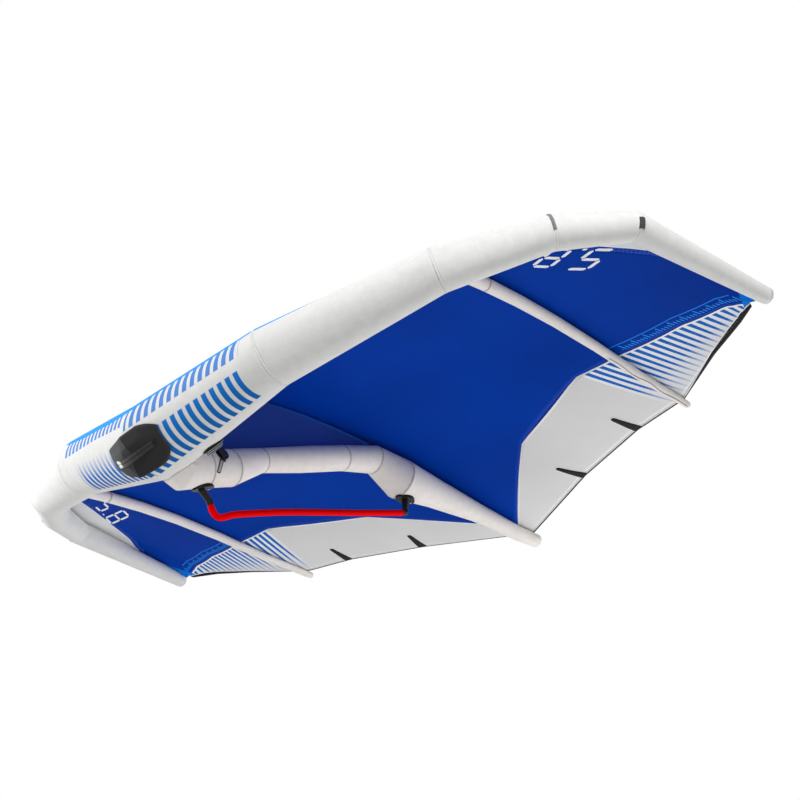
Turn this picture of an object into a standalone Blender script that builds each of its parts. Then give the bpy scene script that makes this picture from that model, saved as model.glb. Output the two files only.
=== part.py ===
"""Inflatable hand-held wing for foil boarding.

The wing is built in metres with +X along the span, +Y from the leading edge to the trailing edge
and +Z towards the top of the canopy. Shapes are worked out from a datum at the middle of the leading
edge's axis, and the finished wing is then stood on the middle of its bounding box's underside.
Each half is the mirror image of the other, so sizes are given for the +X half.
"""

import math

import bmesh
import bpy
import numpy as np
from mathutils import Matrix, Vector

for item in list(bpy.data.objects):
    bpy.data.objects.remove(item, do_unlink=True)

# Overall sizes
HALF_SPAN = 1.686        # middle of the wing to the axis of the leading edge's end
SWEEP = 1.466            # how far that end lies behind the middle
RISE = 0.354             # highest point of the leading edge's axis above its middle
CHORD = 2.11             # axis of the leading edge to the trailing edge, in the middle
LE_RADIUS = 0.143        # leading edge tube in the middle
SIDE_STRUT_SHARE = 0.65065   # of HALF_SPAN, from the middle to a side strut
SIDE_STRUT_X = HALF_SPAN * SIDE_STRUT_SHARE

# Walls and clearances
TUBE_WALL = 0.0012       # woven cloth of the tubes
BLADDER_WALL = 0.0008    # film bladders inside them
SHEET = 0.001            # canopy cloth
GAP = 0.0003             # clearance between pieces that touch
SEAM_GAP = 0.0004        # between two panels, or two lengths of tube, that are sewn together
SHEET_CLEARANCE = 0.0006  # between the canopy and the struts under it
LANDING_CLEARANCE = 0.002  # between the canopy and the round leading edge
BLADDER_CLEARANCE = 0.0009  # between a tube's wall and its bladder
OVERRUN = 0.02           # how far a cutter runs past what it cuts

# Leading edge: bends from the middle to the tip, as shares of HALF_SPAN, SWEEP, RISE and LE_RADIUS
LEADING_EDGE_SHARES = (
    (0.0, 0.0, 0.0, 1.0),
    (0.317, 0.064, 0.359, 0.773),
    (0.663, 0.225, 0.735, 0.559),
    (0.8485, 0.3895, 0.935, 0.431),
    (0.950, 0.553, 1.0, 0.367),
    (1.0, 1.0, 0.712, 0.217),
)
LE_SIDES = 24
TIP_CAP_LENGTH = 0.016
TIP_CAP_ROUND_SHARE = 0.72      # of the tube's radius at the cap's outer face

# Canopy stations from the middle to the tip: place on the leading edge, then the trailing edge point,
# as shares of HALF_SPAN, HALF_SPAN, CHORD and RISE
EDGE_SHARES = (
    (0.0, 0.0, 1.0, 0.101),
    (0.283, 0.283, 0.9015, 0.269),
    (0.497, 0.497, 0.852, 0.386),
    (0.651, 0.651, 0.834, 0.442),
    (0.8485, 0.797, 0.771, 0.593),
    (0.950, 0.8995, 0.737, 0.691),
    (1.0, 0.975, 0.6915, 0.699),
)
# Camber at places on the leading edge: share of HALF_SPAN, height share of the chord,
# and the two powers of the chord share that give the curve its nose and its tail
CAMBER_SHARES = (
    (0.0, 0.36, 0.75, 1.5),
    (0.269, 0.35, 0.94, 1.62),
    (0.534, 0.32, 1.12, 1.75),
    (0.651, 0.2175, 1.2, 1.8),
    (0.8485, 0.12, 1.2, 1.8),
    (1.0, 0.06, 1.2, 1.8),
)
# Seam between the front and the rear panels: share of HALF_SPAN, share of the local chord
REAR_SEAM_SHARES = (
    (0.0, 0.95), (0.269, 0.7885), (0.534, 0.711), (0.651, 0.706),
    (0.8485, 0.773), (0.950, 0.834), (0.983, 0.845), (1.0, 0.97),
)
# Seam of the tip panel, which lies along the leading edge's outer bends
TIP_SEAM_SHARES = (
    (0.651, 0.0), (0.6976, 0.0), (0.7475, 0.09), (0.8485, 0.244),
    (0.897, 0.309), (0.950, 0.406), (0.9665, 0.317), (0.983, 0.087), (0.988, 0.0), (1.0, 0.0),
)
INNER_COLUMN_SHARES = (0.0, 0.134, 0.269, 0.317, 0.402, 0.534, 0.5925, 0.651)
OUTER_COLUMN_SHARES = (0.651, 0.663, 0.6976, 0.7475, 0.8485, 0.897, 0.950, 0.9665, 0.983, 0.988, 0.998)
TIP_COLUMN_SHARES = (0.718, 0.7475, 0.8485, 0.897, 0.950, 0.9665, 0.981)
LANDING_FROM = 30.0      # degrees round the tube where the canopy may meet it
LANDING_TO = 160.0
LANDING_STEPS = 130
NODE_MARGIN_SHARE = 0.012
CLEAR_SCALE_SHARE = 1.01
FRONT_ROW_SHARES = (0.0, 0.06, 0.14, 0.25, 0.37, 0.5, 0.65, 0.82, 1.0)
REAR_ROW_SHARES = (0.0, 0.35, 0.7, 1.0)
TIP_ROW_SHARES = (0.0, 0.5, 1.0)
TAPE_WIDTH = 0.018       # webbing along the trailing edge
TAPE_ROW_SHARES = (0.0, 1.0)

# Battens under the rear panels: front and rear ends, as shares of HALF_SPAN and CHORD
BATTEN_SHARES = {
    "inner": ((0.2577, 0.836), (0.2785, 0.891)),
    "outer": ((0.487, 0.783), (0.5005, 0.841)),
}
BATTEN_FRONT_WIDTH = 0.012
BATTEN_REAR_WIDTH = 0.036
BATTEN_THICKNESS = 0.003
BATTEN_CLEARANCE = 0.0007
BATTEN_STEPS = 4

# Centre strut: stations from the leading edge to the tail, as shares of CHORD for the place,
# of LE_RADIUS for the height of the axis, and of STRUT_RADIUS. A height of None hangs that station
# from the canopy. A name starts the length of strut that is sewn on from that station.
STRUT_RADIUS = 0.071
CENTRE_STRUT_SHARES = (
    (-0.002, -0.30, 0.84, "center_strut_root"),
    (0.0547, -0.60, 1.02, None),
    (0.1002, -0.416, 1.0, "center_strut_bulge"),
    (0.1603, -0.210, 0.986, "center_strut_cone"),
    (0.2360, 0.246, 0.668, "center_strut_neck"),
    (0.3341, 0.595, 0.735, None),
    (0.4433, 0.997, 0.730, "center_strut_elbow"),
    (0.5306, None, 0.810, "center_strut_knee"),
    (0.6002, None, 1.197, "center_strut_tail"),
    (0.6932, None, 0.890, None),
    (0.8164, None, 0.589, None),
    (0.9419, None, 0.459, None),
    (1.0054, None, 0.410, None),
)
STRUT_SIDES = 16
STRUT_SEAT_GAP = 0.0005  # between the strut and what is seated on it
HANG_STEPS = 12
STRUT_HANG_SHARE = 1.045 # a mitred ring reaches a little higher than its radius
WEB_END = 0.02           # the web stops this far before the knee
END_WALL = 0.003         # flat end of a strut

# Side struts
SIDE_STRUT_ROOT_RADIUS = 0.0255
SIDE_STRUT_END_RADIUS = 0.0135
SIDE_STRUT_SIDES = 12
SIDE_STRUT_ROW_SHARES = (0.12, 0.2, 0.32, 0.46, 0.62, 0.8, 1.012)
SIDE_STRUT_SEAM_ROW = 1  # the front length ends at this row
SIDE_STRUT_FRONT_LIFT_SHARE = 0.35   # of the leading edge's radius, above its axis

# Boom under the centre strut: its path from the front arm to the rear arm, as shares of CHORD
# for the place and of BOOM_DROP for the height below the datum
BOOM_DROP = 0.239
GRIP_RADIUS = 0.0125
BOOM_TUBE_RADIUS = 0.0095
BOOM_TUBE_WALL = 0.0015
BOOM_BEND_SHARES = ((0.1123, -0.825), (0.1150, -0.900), (0.1195, -0.960), (0.1262, -0.992),
                    (0.1345, -0.990), (0.1440, -0.962), (0.1531, -0.925))
BOOM_BAR_SHARES = ((0.1531, -0.925), (0.1763, -0.862), (0.2711, -0.668), (0.3711, -0.500),
                   (0.4763, -0.330), (0.5950, -0.128))
BOOM_STEPS = 2
ARM_RADIUS = 0.0135
ARM_STRAIGHT = 0.018     # last straight piece of an arm, round the boom tube
SOCKET_DEPTH = 0.014     # of the boom tube in an arm
ARM_OFFSET = 0.008       # front arm, ahead of its foot's middle
FRONT_BOOT_SHARE = 0.0891
REAR_BOOT_SHARE = 0.6115
BAR_RESOLUTION = 2
MERGE_SHARE = 0.002
BOOT_LENGTH = 0.095      # oval foot of an arm along the strut
BOOT_WIDTH = 0.060
BOOT_HEIGHT = 0.030
BOOT_STAND = 0.007       # how far a foot stands out of the strut
BOLT_RADIUS = 0.004
BOLT_HEAD = 0.003
BOLT_OFFSET = 0.033      # from the arm, towards the tail

# Pad for the front handle, round the front of the leading edge
PAD_LEFT = 0.100         # from the wing's middle to the pad's -X end
PAD_RIGHT = 0.147
PAD_ANGLE = -142.0       # degrees round the tube's axis, 0 at the rear and 180 at the front
PAD_HALF_ANGLE = 35.0
PAD_THICKNESS = 0.020
# Outline, as place along its length, height there, and reach up and down round the tube
PAD_OUTLINE_SHARES = (
    (-1.0, 0.42, 0.600, 0.143), (-0.94, 0.50, 0.643, 0.314), (-0.75, 0.72, 0.700, 0.600),
    (-0.55, 0.93, 0.757, 0.700), (-0.45, 1.0, 0.786, 0.743), (0.0, 1.0, 0.943, 0.886),
    (0.45, 1.0, 0.971, 0.986), (0.55, 0.93, 0.929, 1.0), (0.75, 0.72, 0.800, 0.943),
    (0.94, 0.50, 0.600, 0.686), (1.0, 0.42, 0.514, 0.514),
)
PAD_ROW_SHARES = ((-1.0, 0.35), (-0.88, 0.824), (-0.4, 1.0), (0.0, 1.0), (0.4, 1.0), (0.88, 0.9), (1.0, 0.35))
PAD_EDGE_SHARE = 0.35
STRAP_X = 0.036          # from the wing's middle to the strap's
STRAP_HALF_LENGTH = 0.080
STRAP_WIDTH = 0.025
STRAP_THICKNESS = 0.003
STRAP_ARCH = 0.037       # height of its arch over the line between its ends
STRAP_STEPS = 12
STRAP_ANGLE = -141.0
STRAP_SEAT_SHARE = 0.3   # of its thickness, sunk into the pad and cut flush with it
KEEPER_LENGTH = 0.011
KEEPER_SCALE_SHARE = 1.3

# Valves
LE_VALVE_X = 0.165
LE_VALVE_ANGLE = -50.0
LE_VALVE_FLANGE_RADIUS = 0.042
LE_VALVE_FLANGE_HEIGHT = 0.006
LE_VALVE_BORE = 0.024
LE_VALVE_COLLAR_RADIUS = 0.035
LE_VALVE_COLLAR_HEIGHT = 0.007
LE_VALVE_CAP_RADIUS = 0.030
LE_VALVE_CAP_HEIGHT = 0.005
STRUT_VALVE_PLACE_SHARE = 0.1232     # of CHORD
STRUT_VALVE_ANGLE = 25.0             # degrees above the strut's side
STRUT_VALVE_RADIUS = 0.025
STRUT_VALVE_HEIGHT = 0.006
STRUT_VALVE_BORE = 0.012
STRUT_VALVE_CAP_RADIUS = 0.019
STRUT_VALVE_CAP_HEIGHT = 0.005
STRUT_VALVE_TILT_SHARE = 0.45        # of the tab, towards the front
STRUT_VALVE_TAB_WIDTH = 0.009
STRUT_VALVE_TAB_LENGTH = 0.034
VALVE_SIDES = 24
VALVE_WALL = 0.0025
LE_NECK_DEPTH = 0.0044
STRUT_NECK_DEPTH = 0.0035
KNUCKLE_LENGTH = 0.012
CHEEK_THICKNESS = 0.002
PIN_RADIUS = 0.001
FLANGE_SEAT_SHARE = 0.25             # a flange starts this share of its radius inside the tube

# Air ports that open the bladders towards the leading edge
PORT_RADIUS = 0.009
BLADDER_START_SHARE = 0.7       # of the first length behind the leading edge

UP = Vector((0.0, 0.0, 1.0))

wing = bpy.data.collections.new("wingfoil_wing")
cutters = bpy.data.collections.new("cutters")
bpy.context.scene.collection.children.link(wing)
bpy.context.scene.collection.children.link(cutters)


def material(name, colour, roughness, metallic=0.0):
    mat = bpy.data.materials.new(name)
    mat.use_nodes = True
    shader = mat.node_tree.nodes["Principled BSDF"]
    shader.inputs["Base Color"].default_value = (*colour, 1.0)
    shader.inputs["Roughness"].default_value = roughness
    shader.inputs["Metallic"].default_value = metallic
    mat.diffuse_color = (*colour, 1.0)
    return mat


MATERIALS = {
    "tube_cloth": material("tube_cloth", (0.68, 0.68, 0.66), 0.75),
    "strut_cloth": material("strut_cloth", (0.60, 0.58, 0.55), 0.75),
    "blue_cloth": material("blue_cloth", (0.0, 0.03, 0.26), 0.6),
    "web_cloth": material("web_cloth", (0.015, 0.03, 0.16), 0.5),
    "grey_cloth": material("grey_cloth", (0.57, 0.57, 0.57), 0.65),
    "edge_tape": material("edge_tape", (0.02, 0.02, 0.02), 0.8),
    "batten": material("batten", (0.015, 0.015, 0.015), 0.6),
    "bladder_film": material("bladder_film", (0.75, 0.78, 0.78), 0.35),
    "black_plastic": material("black_plastic", (0.02, 0.02, 0.02), 0.45),
    "grey_plastic": material("grey_plastic", (0.16, 0.16, 0.16), 0.45),
    "grip_foam": material("grip_foam", (0.80, 0.0, 0.0), 0.6),
    "boom_tube": material("boom_tube", (0.03, 0.03, 0.03), 0.35, 1.0),
    "pad_foam": material("pad_foam", (0.02, 0.02, 0.02), 0.8),
    "webbing": material("webbing", (0.02, 0.02, 0.02), 0.85),
    "bolt_steel": material("bolt_steel", (0.6, 0.6, 0.6), 0.3, 1.0),
}


def mix(a, b, t):
    return a + (b - a) * t


def table(rows, place, column):
    """Value of a column of a table at a place in its first column, in straight steps."""
    return float(np.interp(place, [row[0] for row in rows], [row[column] for row in rows]))


def new_object(name, verts, faces, slot, origin=Vector(), group=None, smooth=True):
    """Object from points in datum coordinates, with its own origin."""
    mesh = bpy.data.meshes.new(name)
    mesh.from_pydata([tuple(Vector(v) - origin) for v in verts], [], faces)
    mesh.validate()
    mesh.update()
    if smooth:
        mesh.shade_smooth()
        mesh.set_sharp_from_angle(angle=math.radians(35))
    obj = bpy.data.objects.new(name, mesh)
    obj.location = origin
    (group or wing).objects.link(obj)
    mesh.materials.append(MATERIALS[slot])
    return obj


def ring(centre, radius, normal, along, reference, sides):
    """Closed ring of points in the plane of normal, at one distance from a tube that runs along."""
    first = (reference - reference.dot(normal) * normal).normalized()
    second = normal.cross(first)
    points = []
    for k in range(sides):
        angle = 2.0 * math.pi * k / sides
        ray = math.cos(angle) * first + math.sin(angle) * second
        points.append(centre + ray * (radius / math.sqrt(1.0 - ray.dot(along) ** 2)))
    return points


def path_rings(points, radii, sides, reference=UP):
    """Rings of a tube along a path, mitred at its bends."""
    rings = []
    for i, (point, radius) in enumerate(zip(points, radii)):
        before = (points[i] - points[i - 1]).normalized() if i > 0 else None
        after = (points[i + 1] - points[i]).normalized() if i < len(points) - 1 else None
        along = before or after
        normal = (before + after).normalized() if before and after else along
        rings.append((point, normal, ring(point, radius, normal, along, reference, sides)))
    return rings


def shrink(points, centre, amount):
    return [p - (p - centre).normalized() * amount for p in points]


def shift(points, offset):
    return [p + offset for p in points]


def sides_between(first, second, count, inward=False):
    """Triangles between two rings of one mesh, given by the number of their first point."""
    faces = []
    for k in range(count):
        n = (k + 1) % count
        for face in ((first + k, first + n, second + n), (first + k, second + n, second + k)):
            faces.append(face[::-1] if inward else face)
    return faces


def solid_tube(name, rings, slot, group=None):
    """Closed tube through rings of points, with flat ends."""
    count = len(rings[0])
    verts = [p for points in rings for p in points]
    faces = []
    for i in range(len(rings) - 1):
        faces += sides_between(i * count, (i + 1) * count, count)
    last = (len(rings) - 1) * count
    faces.append(tuple(range(count))[::-1])
    faces.append(tuple(last + k for k in range(count)))
    return new_object(name, verts, faces, slot, group=group)


def shell_tube(name, rings, centres, wall, slot, end_wall=0.0):
    """Hollow tube through rings of points. It is open at the front, and at the rear too without an end wall."""
    count = len(rings[0])
    outer = [p for points in rings for p in points]
    inner_rings = [shrink(points, centre, wall) for points, centre in zip(rings, centres)]
    if end_wall:
        back = (centres[-2] - centres[-1]).normalized() * end_wall
        inner_rings[-1] = shift(inner_rings[-1], back)
    inner = [p for points in inner_rings for p in points]
    base = len(outer)
    last = (len(rings) - 1) * count
    faces = []
    for i in range(len(rings) - 1):
        faces += sides_between(i * count, (i + 1) * count, count)
        faces += sides_between(base + i * count, base + (i + 1) * count, count, inward=True)
    faces += sides_between(base, 0, count)
    if end_wall:
        faces.append(tuple(last + k for k in range(count)))
        faces.append(tuple(base + last + k for k in range(count))[::-1])
    else:
        faces += sides_between(last, base + last, count)
    return new_object(name, outer + inner, faces, slot)


def bladder(name, points, radii, sides, ports):
    """Closed film bag along a path, opened by its air ports."""
    outer = [r[2] for r in path_rings(points, radii, sides)]
    thin = [radius - BLADDER_WALL for radius in radii]
    inner_points = list(points)
    inner_points[0] = points[0] + (points[1] - points[0]).normalized() * BLADDER_WALL
    inner_points[-1] = points[-1] + (points[-2] - points[-1]).normalized() * BLADDER_WALL
    inner = [r[2] for r in path_rings(inner_points, thin, sides)]
    verts = [p for loop in outer for p in loop]
    faces = []
    last = (len(points) - 1) * sides
    for i in range(len(points) - 1):
        faces += sides_between(i * sides, (i + 1) * sides, sides)
    faces.append(tuple(range(sides))[::-1])
    faces.append(tuple(last + k for k in range(sides)))
    base = len(verts)
    verts += [p for loop in inner for p in loop]
    for i in range(len(points) - 1):
        faces += sides_between(base + i * sides, base + (i + 1) * sides, sides, inward=True)
    faces.append(tuple(base + k for k in range(sides)))
    faces.append(tuple(base + last + k for k in range(sides))[::-1])
    bag = new_object(name, verts, faces, "bladder_film")
    for port in ports:
        cut(bag, port)
    return bag


def cut(obj, cutter):
    cutter.hide_render = True
    cutter.display_type = "WIRE"
    modifier = obj.modifiers.new(f"cut_{cutter.name}", "BOOLEAN")
    modifier.operation = "DIFFERENCE"
    modifier.object = cutter
    modifier.solver = "EXACT"


def cylinder(name, centre, axis, radius, height, slot, group=None, sides=VALVE_SIDES, origin=None):
    """Cylinder that stands on centre and runs along axis."""
    bpy.ops.mesh.primitive_cylinder_add(vertices=sides, radius=radius, depth=height)
    obj = bpy.context.object
    obj.name = name
    obj.data.name = name
    turn = UP.rotation_difference(axis.normalized()).to_matrix().to_4x4()
    middle = centre + axis.normalized() * (height / 2.0)
    place = Matrix.Translation(middle) @ turn
    obj.data.transform(place)
    if origin is not None:
        obj.data.transform(Matrix.Translation(-origin))
        obj.location = origin
    obj.data.materials.append(MATERIALS[slot])
    obj.data.shade_smooth()
    obj.data.set_sharp_from_angle(angle=math.radians(35))
    for owner in list(obj.users_collection):
        owner.objects.unlink(obj)
    (group or wing).objects.link(obj)
    return obj


# Leading edge

def leading_edge_nodes():
    """Axis points and radii of the leading edge's bends, from the left tip to the right tip."""
    half = [(Vector((x * HALF_SPAN, y * SWEEP, z * RISE)), r * LE_RADIUS) for x, y, z, r in LEADING_EDGE_SHARES]
    left = [(Vector((-p.x, p.y, p.z)), r) for p, r in half[:0:-1]]
    nodes = left + half
    return [p for p, r in nodes], [r for p, r in nodes]


LE_POINTS, LE_RADII = leading_edge_nodes()
LE_MIDDLE = len(LE_POINTS) // 2


def leading_edge_at(share):
    """Axis point, radius and direction of the +X half at a share of the half span."""
    point = Vector((share * HALF_SPAN, table(LEADING_EDGE_SHARES, share, 1) * SWEEP,
                    table(LEADING_EDGE_SHARES, share, 2) * RISE))
    radius = table(LEADING_EDGE_SHARES, share, 3) * LE_RADIUS
    for i in range(len(LEADING_EDGE_SHARES) - 1):
        if share <= LEADING_EDGE_SHARES[i + 1][0]:
            break
    start = LE_POINTS[LE_MIDDLE + i]
    return point, radius, (LE_POINTS[LE_MIDDLE + i + 1] - start).normalized()


def leading_edge_surface(share, angle, height=0.0):
    """Point at an angle round the tube: 0 degrees at its rear, 90 at its top, 180 at its front."""
    point, radius, along = leading_edge_at(abs(share))
    if share < 0.0:
        point = Vector((-point.x, point.y, point.z))
        along = Vector((along.x, -along.y, -along.z))
    rear = UP.cross(along).normalized()
    top = along.cross(rear)
    out = math.cos(math.radians(angle)) * rear + math.sin(math.radians(angle)) * top
    return point + out * (radius + height), out, along


def build_leading_edge():
    rings = path_rings(LE_POINTS, LE_RADII, LE_SIDES)
    lengths = [("le_center", LE_MIDDLE - 1, LE_MIDDLE + 1)]
    for k, name in enumerate(("le_inner", "le_mid", "le_outer", "le_tip")):
        lengths.append((f"{name}_R", LE_MIDDLE + 1 + k, LE_MIDDLE + 2 + k))
        lengths.append((f"{name}_L", LE_MIDDLE - 2 - k, LE_MIDDLE - 1 - k))
    for name, first, last in lengths:
        chosen = rings[first:last + 1]
        loops = [list(points) for centre, normal, points in chosen]
        loops[0] = shift(loops[0], chosen[0][1] * (SEAM_GAP / 2.0))
        loops[-1] = shift(loops[-1], chosen[-1][1] * (-SEAM_GAP / 2.0))
        shell_tube(name, loops, [c for c, n, p in chosen], TUBE_WALL, "tube_cloth")
    for name, end, sign in (("le_cap_R", len(rings) - 1, 1.0), ("le_cap_L", 0, -1.0)):
        centre, normal, points = rings[end]
        out = normal * sign
        base = shift(points, out * SEAM_GAP)
        tip = shrink(shift(points, out * TIP_CAP_LENGTH), centre + out * TIP_CAP_LENGTH,
                     LE_RADII[end] * (1.0 - TIP_CAP_ROUND_SHARE))
        middle = [mix(a, b, 0.5) + (a - centre).normalized() * (TIP_CAP_LENGTH * 0.25) for a, b in zip(base, tip)]
        loops = [base, middle, tip]
        if sign < 0.0:
            loops = loops[::-1]
        solid_tube(name, loops, "tube_cloth")
    fat = [radius + GAP for radius in LE_RADII]
    loops = [points for centre, normal, points in path_rings(LE_POINTS, fat, LE_SIDES)]
    return solid_tube("leading_edge_cutter", loops, "tube_cloth", group=cutters)


# Canopy

def tube_reach(share, ray):
    """Distance from the axis at a share of the half span to the tube's surface along a ray."""
    reach = 0.0
    for i in range(len(LEADING_EDGE_SHARES) - 1):
        if not LEADING_EDGE_SHARES[i][0] - NODE_MARGIN_SHARE <= share <= \
                LEADING_EDGE_SHARES[i + 1][0] + NODE_MARGIN_SHARE:
            continue
        start, end = LE_POINTS[LE_MIDDLE + i], LE_POINTS[LE_MIDDLE + i + 1]
        along = (end - start).normalized()
        taper = (LE_RADII[LE_MIDDLE + i + 1] - LE_RADII[LE_MIDDLE + i]) / (end - start).length
        radius = leading_edge_at(share)[1] + LANDING_CLEARANCE
        lean = ray.dot(along)
        reach = max(reach, radius / (math.sqrt(1.0 - lean * lean) - taper * lean))
    return reach


def station(share):
    """Crown of the leading edge, trailing edge point and camber at a share of the half span."""
    point, radius, along = leading_edge_at(share)
    crown = point + UP * tube_reach(share, UP)
    tail = Vector((table(EDGE_SHARES, share, 1) * HALF_SPAN, table(EDGE_SHARES, share, 2) * CHORD,
                   table(EDGE_SHARES, share, 3) * RISE))
    return crown, tail, [table(CAMBER_SHARES, share, k) for k in (1, 2, 3)]


def canopy_point(share, chordwise):
    """Underside of the canopy at a share of the half span and a share of the chord there."""
    crown, tail, (height, nose, back) = station(share)
    point = mix(crown, tail, chordwise)
    inside = min(max(chordwise, 0.0), 1.0)
    camber = height * (tail - crown).length * inside ** nose * (1.0 - inside) ** back
    return point + UP * camber


def chord_direction(share):
    crown, tail, camber = station(share)
    return Vector((tail.x - crown.x, tail.y - crown.y, 0.0)).normalized()


def landing_point(share, toward):
    """Where a taut cloth from a point meets the top of the leading edge's tube."""
    point = leading_edge_at(share)[0]
    back = chord_direction(share)
    best, landing = None, None
    for k in range(LANDING_STEPS):
        angle = math.radians(mix(LANDING_FROM, LANDING_TO, k / LANDING_STEPS))
        ray = back * math.cos(angle) + UP * math.sin(angle)
        spot = point + ray * tube_reach(share, ray)
        climb = math.atan2(spot.z - toward.z, (toward - spot).dot(back))
        if best is None or climb > best:
            best, landing = climb, spot
    return landing


def clear_of_tube(share, spot):
    """Moves a point of the cloth out of the leading edge's tube."""
    point = leading_edge_at(share)[0]
    away = spot - point
    reach = tube_reach(share, away.normalized()) * CLEAR_SCALE_SHARE
    return point + away.normalized() * reach if away.length < reach else spot


def tape_share(share):
    crown, tail, camber = station(share)
    return min(TAPE_WIDTH / (tail - crown).length, 0.4)


def seam_share(share):
    return table(REAR_SEAM_SHARES, share, 1)


def tip_seam(share):
    return table(TIP_SEAM_SHARES, share, 1)


def column(share, front, rear, row_shares):
    """Points of one chordwise line of a panel. A front at zero lands on the leading edge."""
    crown, tail, camber = station(share)
    half_gap = SEAM_GAP / 2.0 / (tail - crown).length
    start = front + half_gap if front > 0.0 else 0.0
    end = rear - half_gap if rear < 1.0 else rear
    points = [clear_of_tube(share, canopy_point(share, mix(start, end, row))) for row in row_shares]
    if front <= 0.0:
        points[0] = landing_point(share, points[1])
    return points


def panel_columns(columns, front, rear, row_shares):
    return [column(share, front(share), rear(share), row_shares) for share in columns]


def sheet_faces(columns, rows, flip):
    """Triangles of a grid of points, so that the cloth's facets are known."""
    faces = []
    for i in range(columns - 1):
        for j in range(rows - 1):
            a, b = i * rows + j, (i + 1) * rows + j
            for face in ((a, b, b + 1), (a, b + 1, a + 1)):
                faces.append(face[::-1] if flip else face)
    return faces


def sheet(name, grid, side, slot, thickness=SHEET, group=None):
    """Cloth panel on a grid of underside points, thickened upwards."""
    verts = [Vector((p.x * side, p.y, p.z)) for line in grid for p in line]
    faces = sheet_faces(len(grid), len(grid[0]), side < 0.0)
    obj = new_object(name, verts, faces, slot, group=group)
    solidify = obj.modifiers.new("cloth", "SOLIDIFY")
    solidify.thickness = thickness
    solidify.offset = 1.0
    solidify.use_even_offset = True
    return obj


def inset_columns(grid, first, last):
    """Moves the first and last lines of a grid along the span, so that neighbours keep a gap."""
    grid[0] = [p + Vector((first, 0.0, 0.0)) for p in grid[0]]
    grid[-1] = [p - Vector((last, 0.0, 0.0)) for p in grid[-1]]
    return grid


def canopy_grids():
    """Grids of every canopy panel of the +X half."""
    half = SEAM_GAP / 2.0

    def nothing(share):
        return 0.0

    def full(share):
        return 1.0

    def tape(share):
        return 1.0 - tape_share(share)

    grids = {
        "canopy_front": inset_columns(panel_columns(INNER_COLUMN_SHARES, nothing, seam_share, FRONT_ROW_SHARES),
                                      half, half),
        "canopy_rear": inset_columns(panel_columns(INNER_COLUMN_SHARES, seam_share, tape, REAR_ROW_SHARES),
                                     half, half),
        "canopy_outer": inset_columns(panel_columns(OUTER_COLUMN_SHARES, tip_seam, seam_share, FRONT_ROW_SHARES),
                                      half, 0.0),
        "canopy_striped": inset_columns(panel_columns(OUTER_COLUMN_SHARES[:-1], seam_share, tape, REAR_ROW_SHARES),
                                        half, 0.0),
        "tip_panel": panel_columns(TIP_COLUMN_SHARES, nothing, tip_seam, TIP_ROW_SHARES),
        "edge_tape_inner": inset_columns(panel_columns(INNER_COLUMN_SHARES, tape, full, TAPE_ROW_SHARES),
                                         half, half),
        "edge_tape_outer": inset_columns(panel_columns(OUTER_COLUMN_SHARES[:-1], tape, full, TAPE_ROW_SHARES),
                                         half, 0.0),
    }
    return grids


PANEL_SLOTS = {
    "canopy_front": "blue_cloth",
    "canopy_rear": "grey_cloth",
    "canopy_outer": "blue_cloth",
    "canopy_striped": "grey_cloth",
    "tip_panel": "grey_cloth",
    "edge_tape_inner": "edge_tape",
    "edge_tape_outer": "edge_tape",
}


def height_on(grid, x, y):
    """Height of a triangulated grid over a point of the plan."""
    best = None
    for i in range(len(grid) - 1):
        for j in range(len(grid[0]) - 1):
            a, b, c, d = grid[i][j], grid[i + 1][j], grid[i + 1][j + 1], grid[i][j + 1]
            for p, q, r in ((a, b, c), (a, c, d)):
                area = (q.x - p.x) * (r.y - p.y) - (r.x - p.x) * (q.y - p.y)
                if abs(area) < 1e-12:
                    continue
                u = ((x - p.x) * (r.y - p.y) - (r.x - p.x) * (y - p.y)) / area
                v = ((q.x - p.x) * (y - p.y) - (x - p.x) * (q.y - p.y)) / area
                miss = max(-u, -v, u + v - 1.0, 0.0)
                if best is None or miss < best[0]:
                    best = (miss, p.z + (q.z - p.z) * u + (r.z - p.z) * v)
    return best[1]


def build_canopy(grids):
    for name, grid in grids.items():
        for suffix, side in (("R", 1.0), ("L", -1.0)):
            sheet(f"{name}_{suffix}", grid, side, PANEL_SLOTS[name])


def build_battens(grids):
    rear = grids["canopy_rear"]
    for name, (front, back) in BATTEN_SHARES.items():
        start = Vector((front[0] * HALF_SPAN, front[1] * CHORD, 0.0))
        end = Vector((back[0] * HALF_SPAN, back[1] * CHORD, 0.0))
        across = (end - start).normalized().cross(UP)
        grid = []
        for side in (-0.5, 0.0, 0.5):
            line = []
            for k in range(BATTEN_STEPS + 1):
                t = k / BATTEN_STEPS
                p = mix(start, end, t) + across * (side * mix(BATTEN_FRONT_WIDTH, BATTEN_REAR_WIDTH, t))
                z = height_on(rear, p.x, p.y) - BATTEN_CLEARANCE - BATTEN_THICKNESS
                line.append(Vector((p.x, p.y, z)))
            grid.append(line)
        if grid[0][0].x > grid[-1][0].x:
            grid = grid[::-1]
        for suffix, sign in (("R", 1.0), ("L", -1.0)):
            sheet(f"batten_{name}_{suffix}", grid, sign, "batten", thickness=BATTEN_THICKNESS)


# Centre strut

def centre_line(grids):
    """Underside of the canopy along the middle of the wing, as (y, z) corners."""
    points = grids["canopy_front"][0] + grids["canopy_rear"][0] + grids["edge_tape_inner"][0]
    return [(p.y, p.z) for p in points]


def height_along(line, y):
    return float(np.interp(y, [p[0] for p in line], [p[1] for p in line]))


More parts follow.
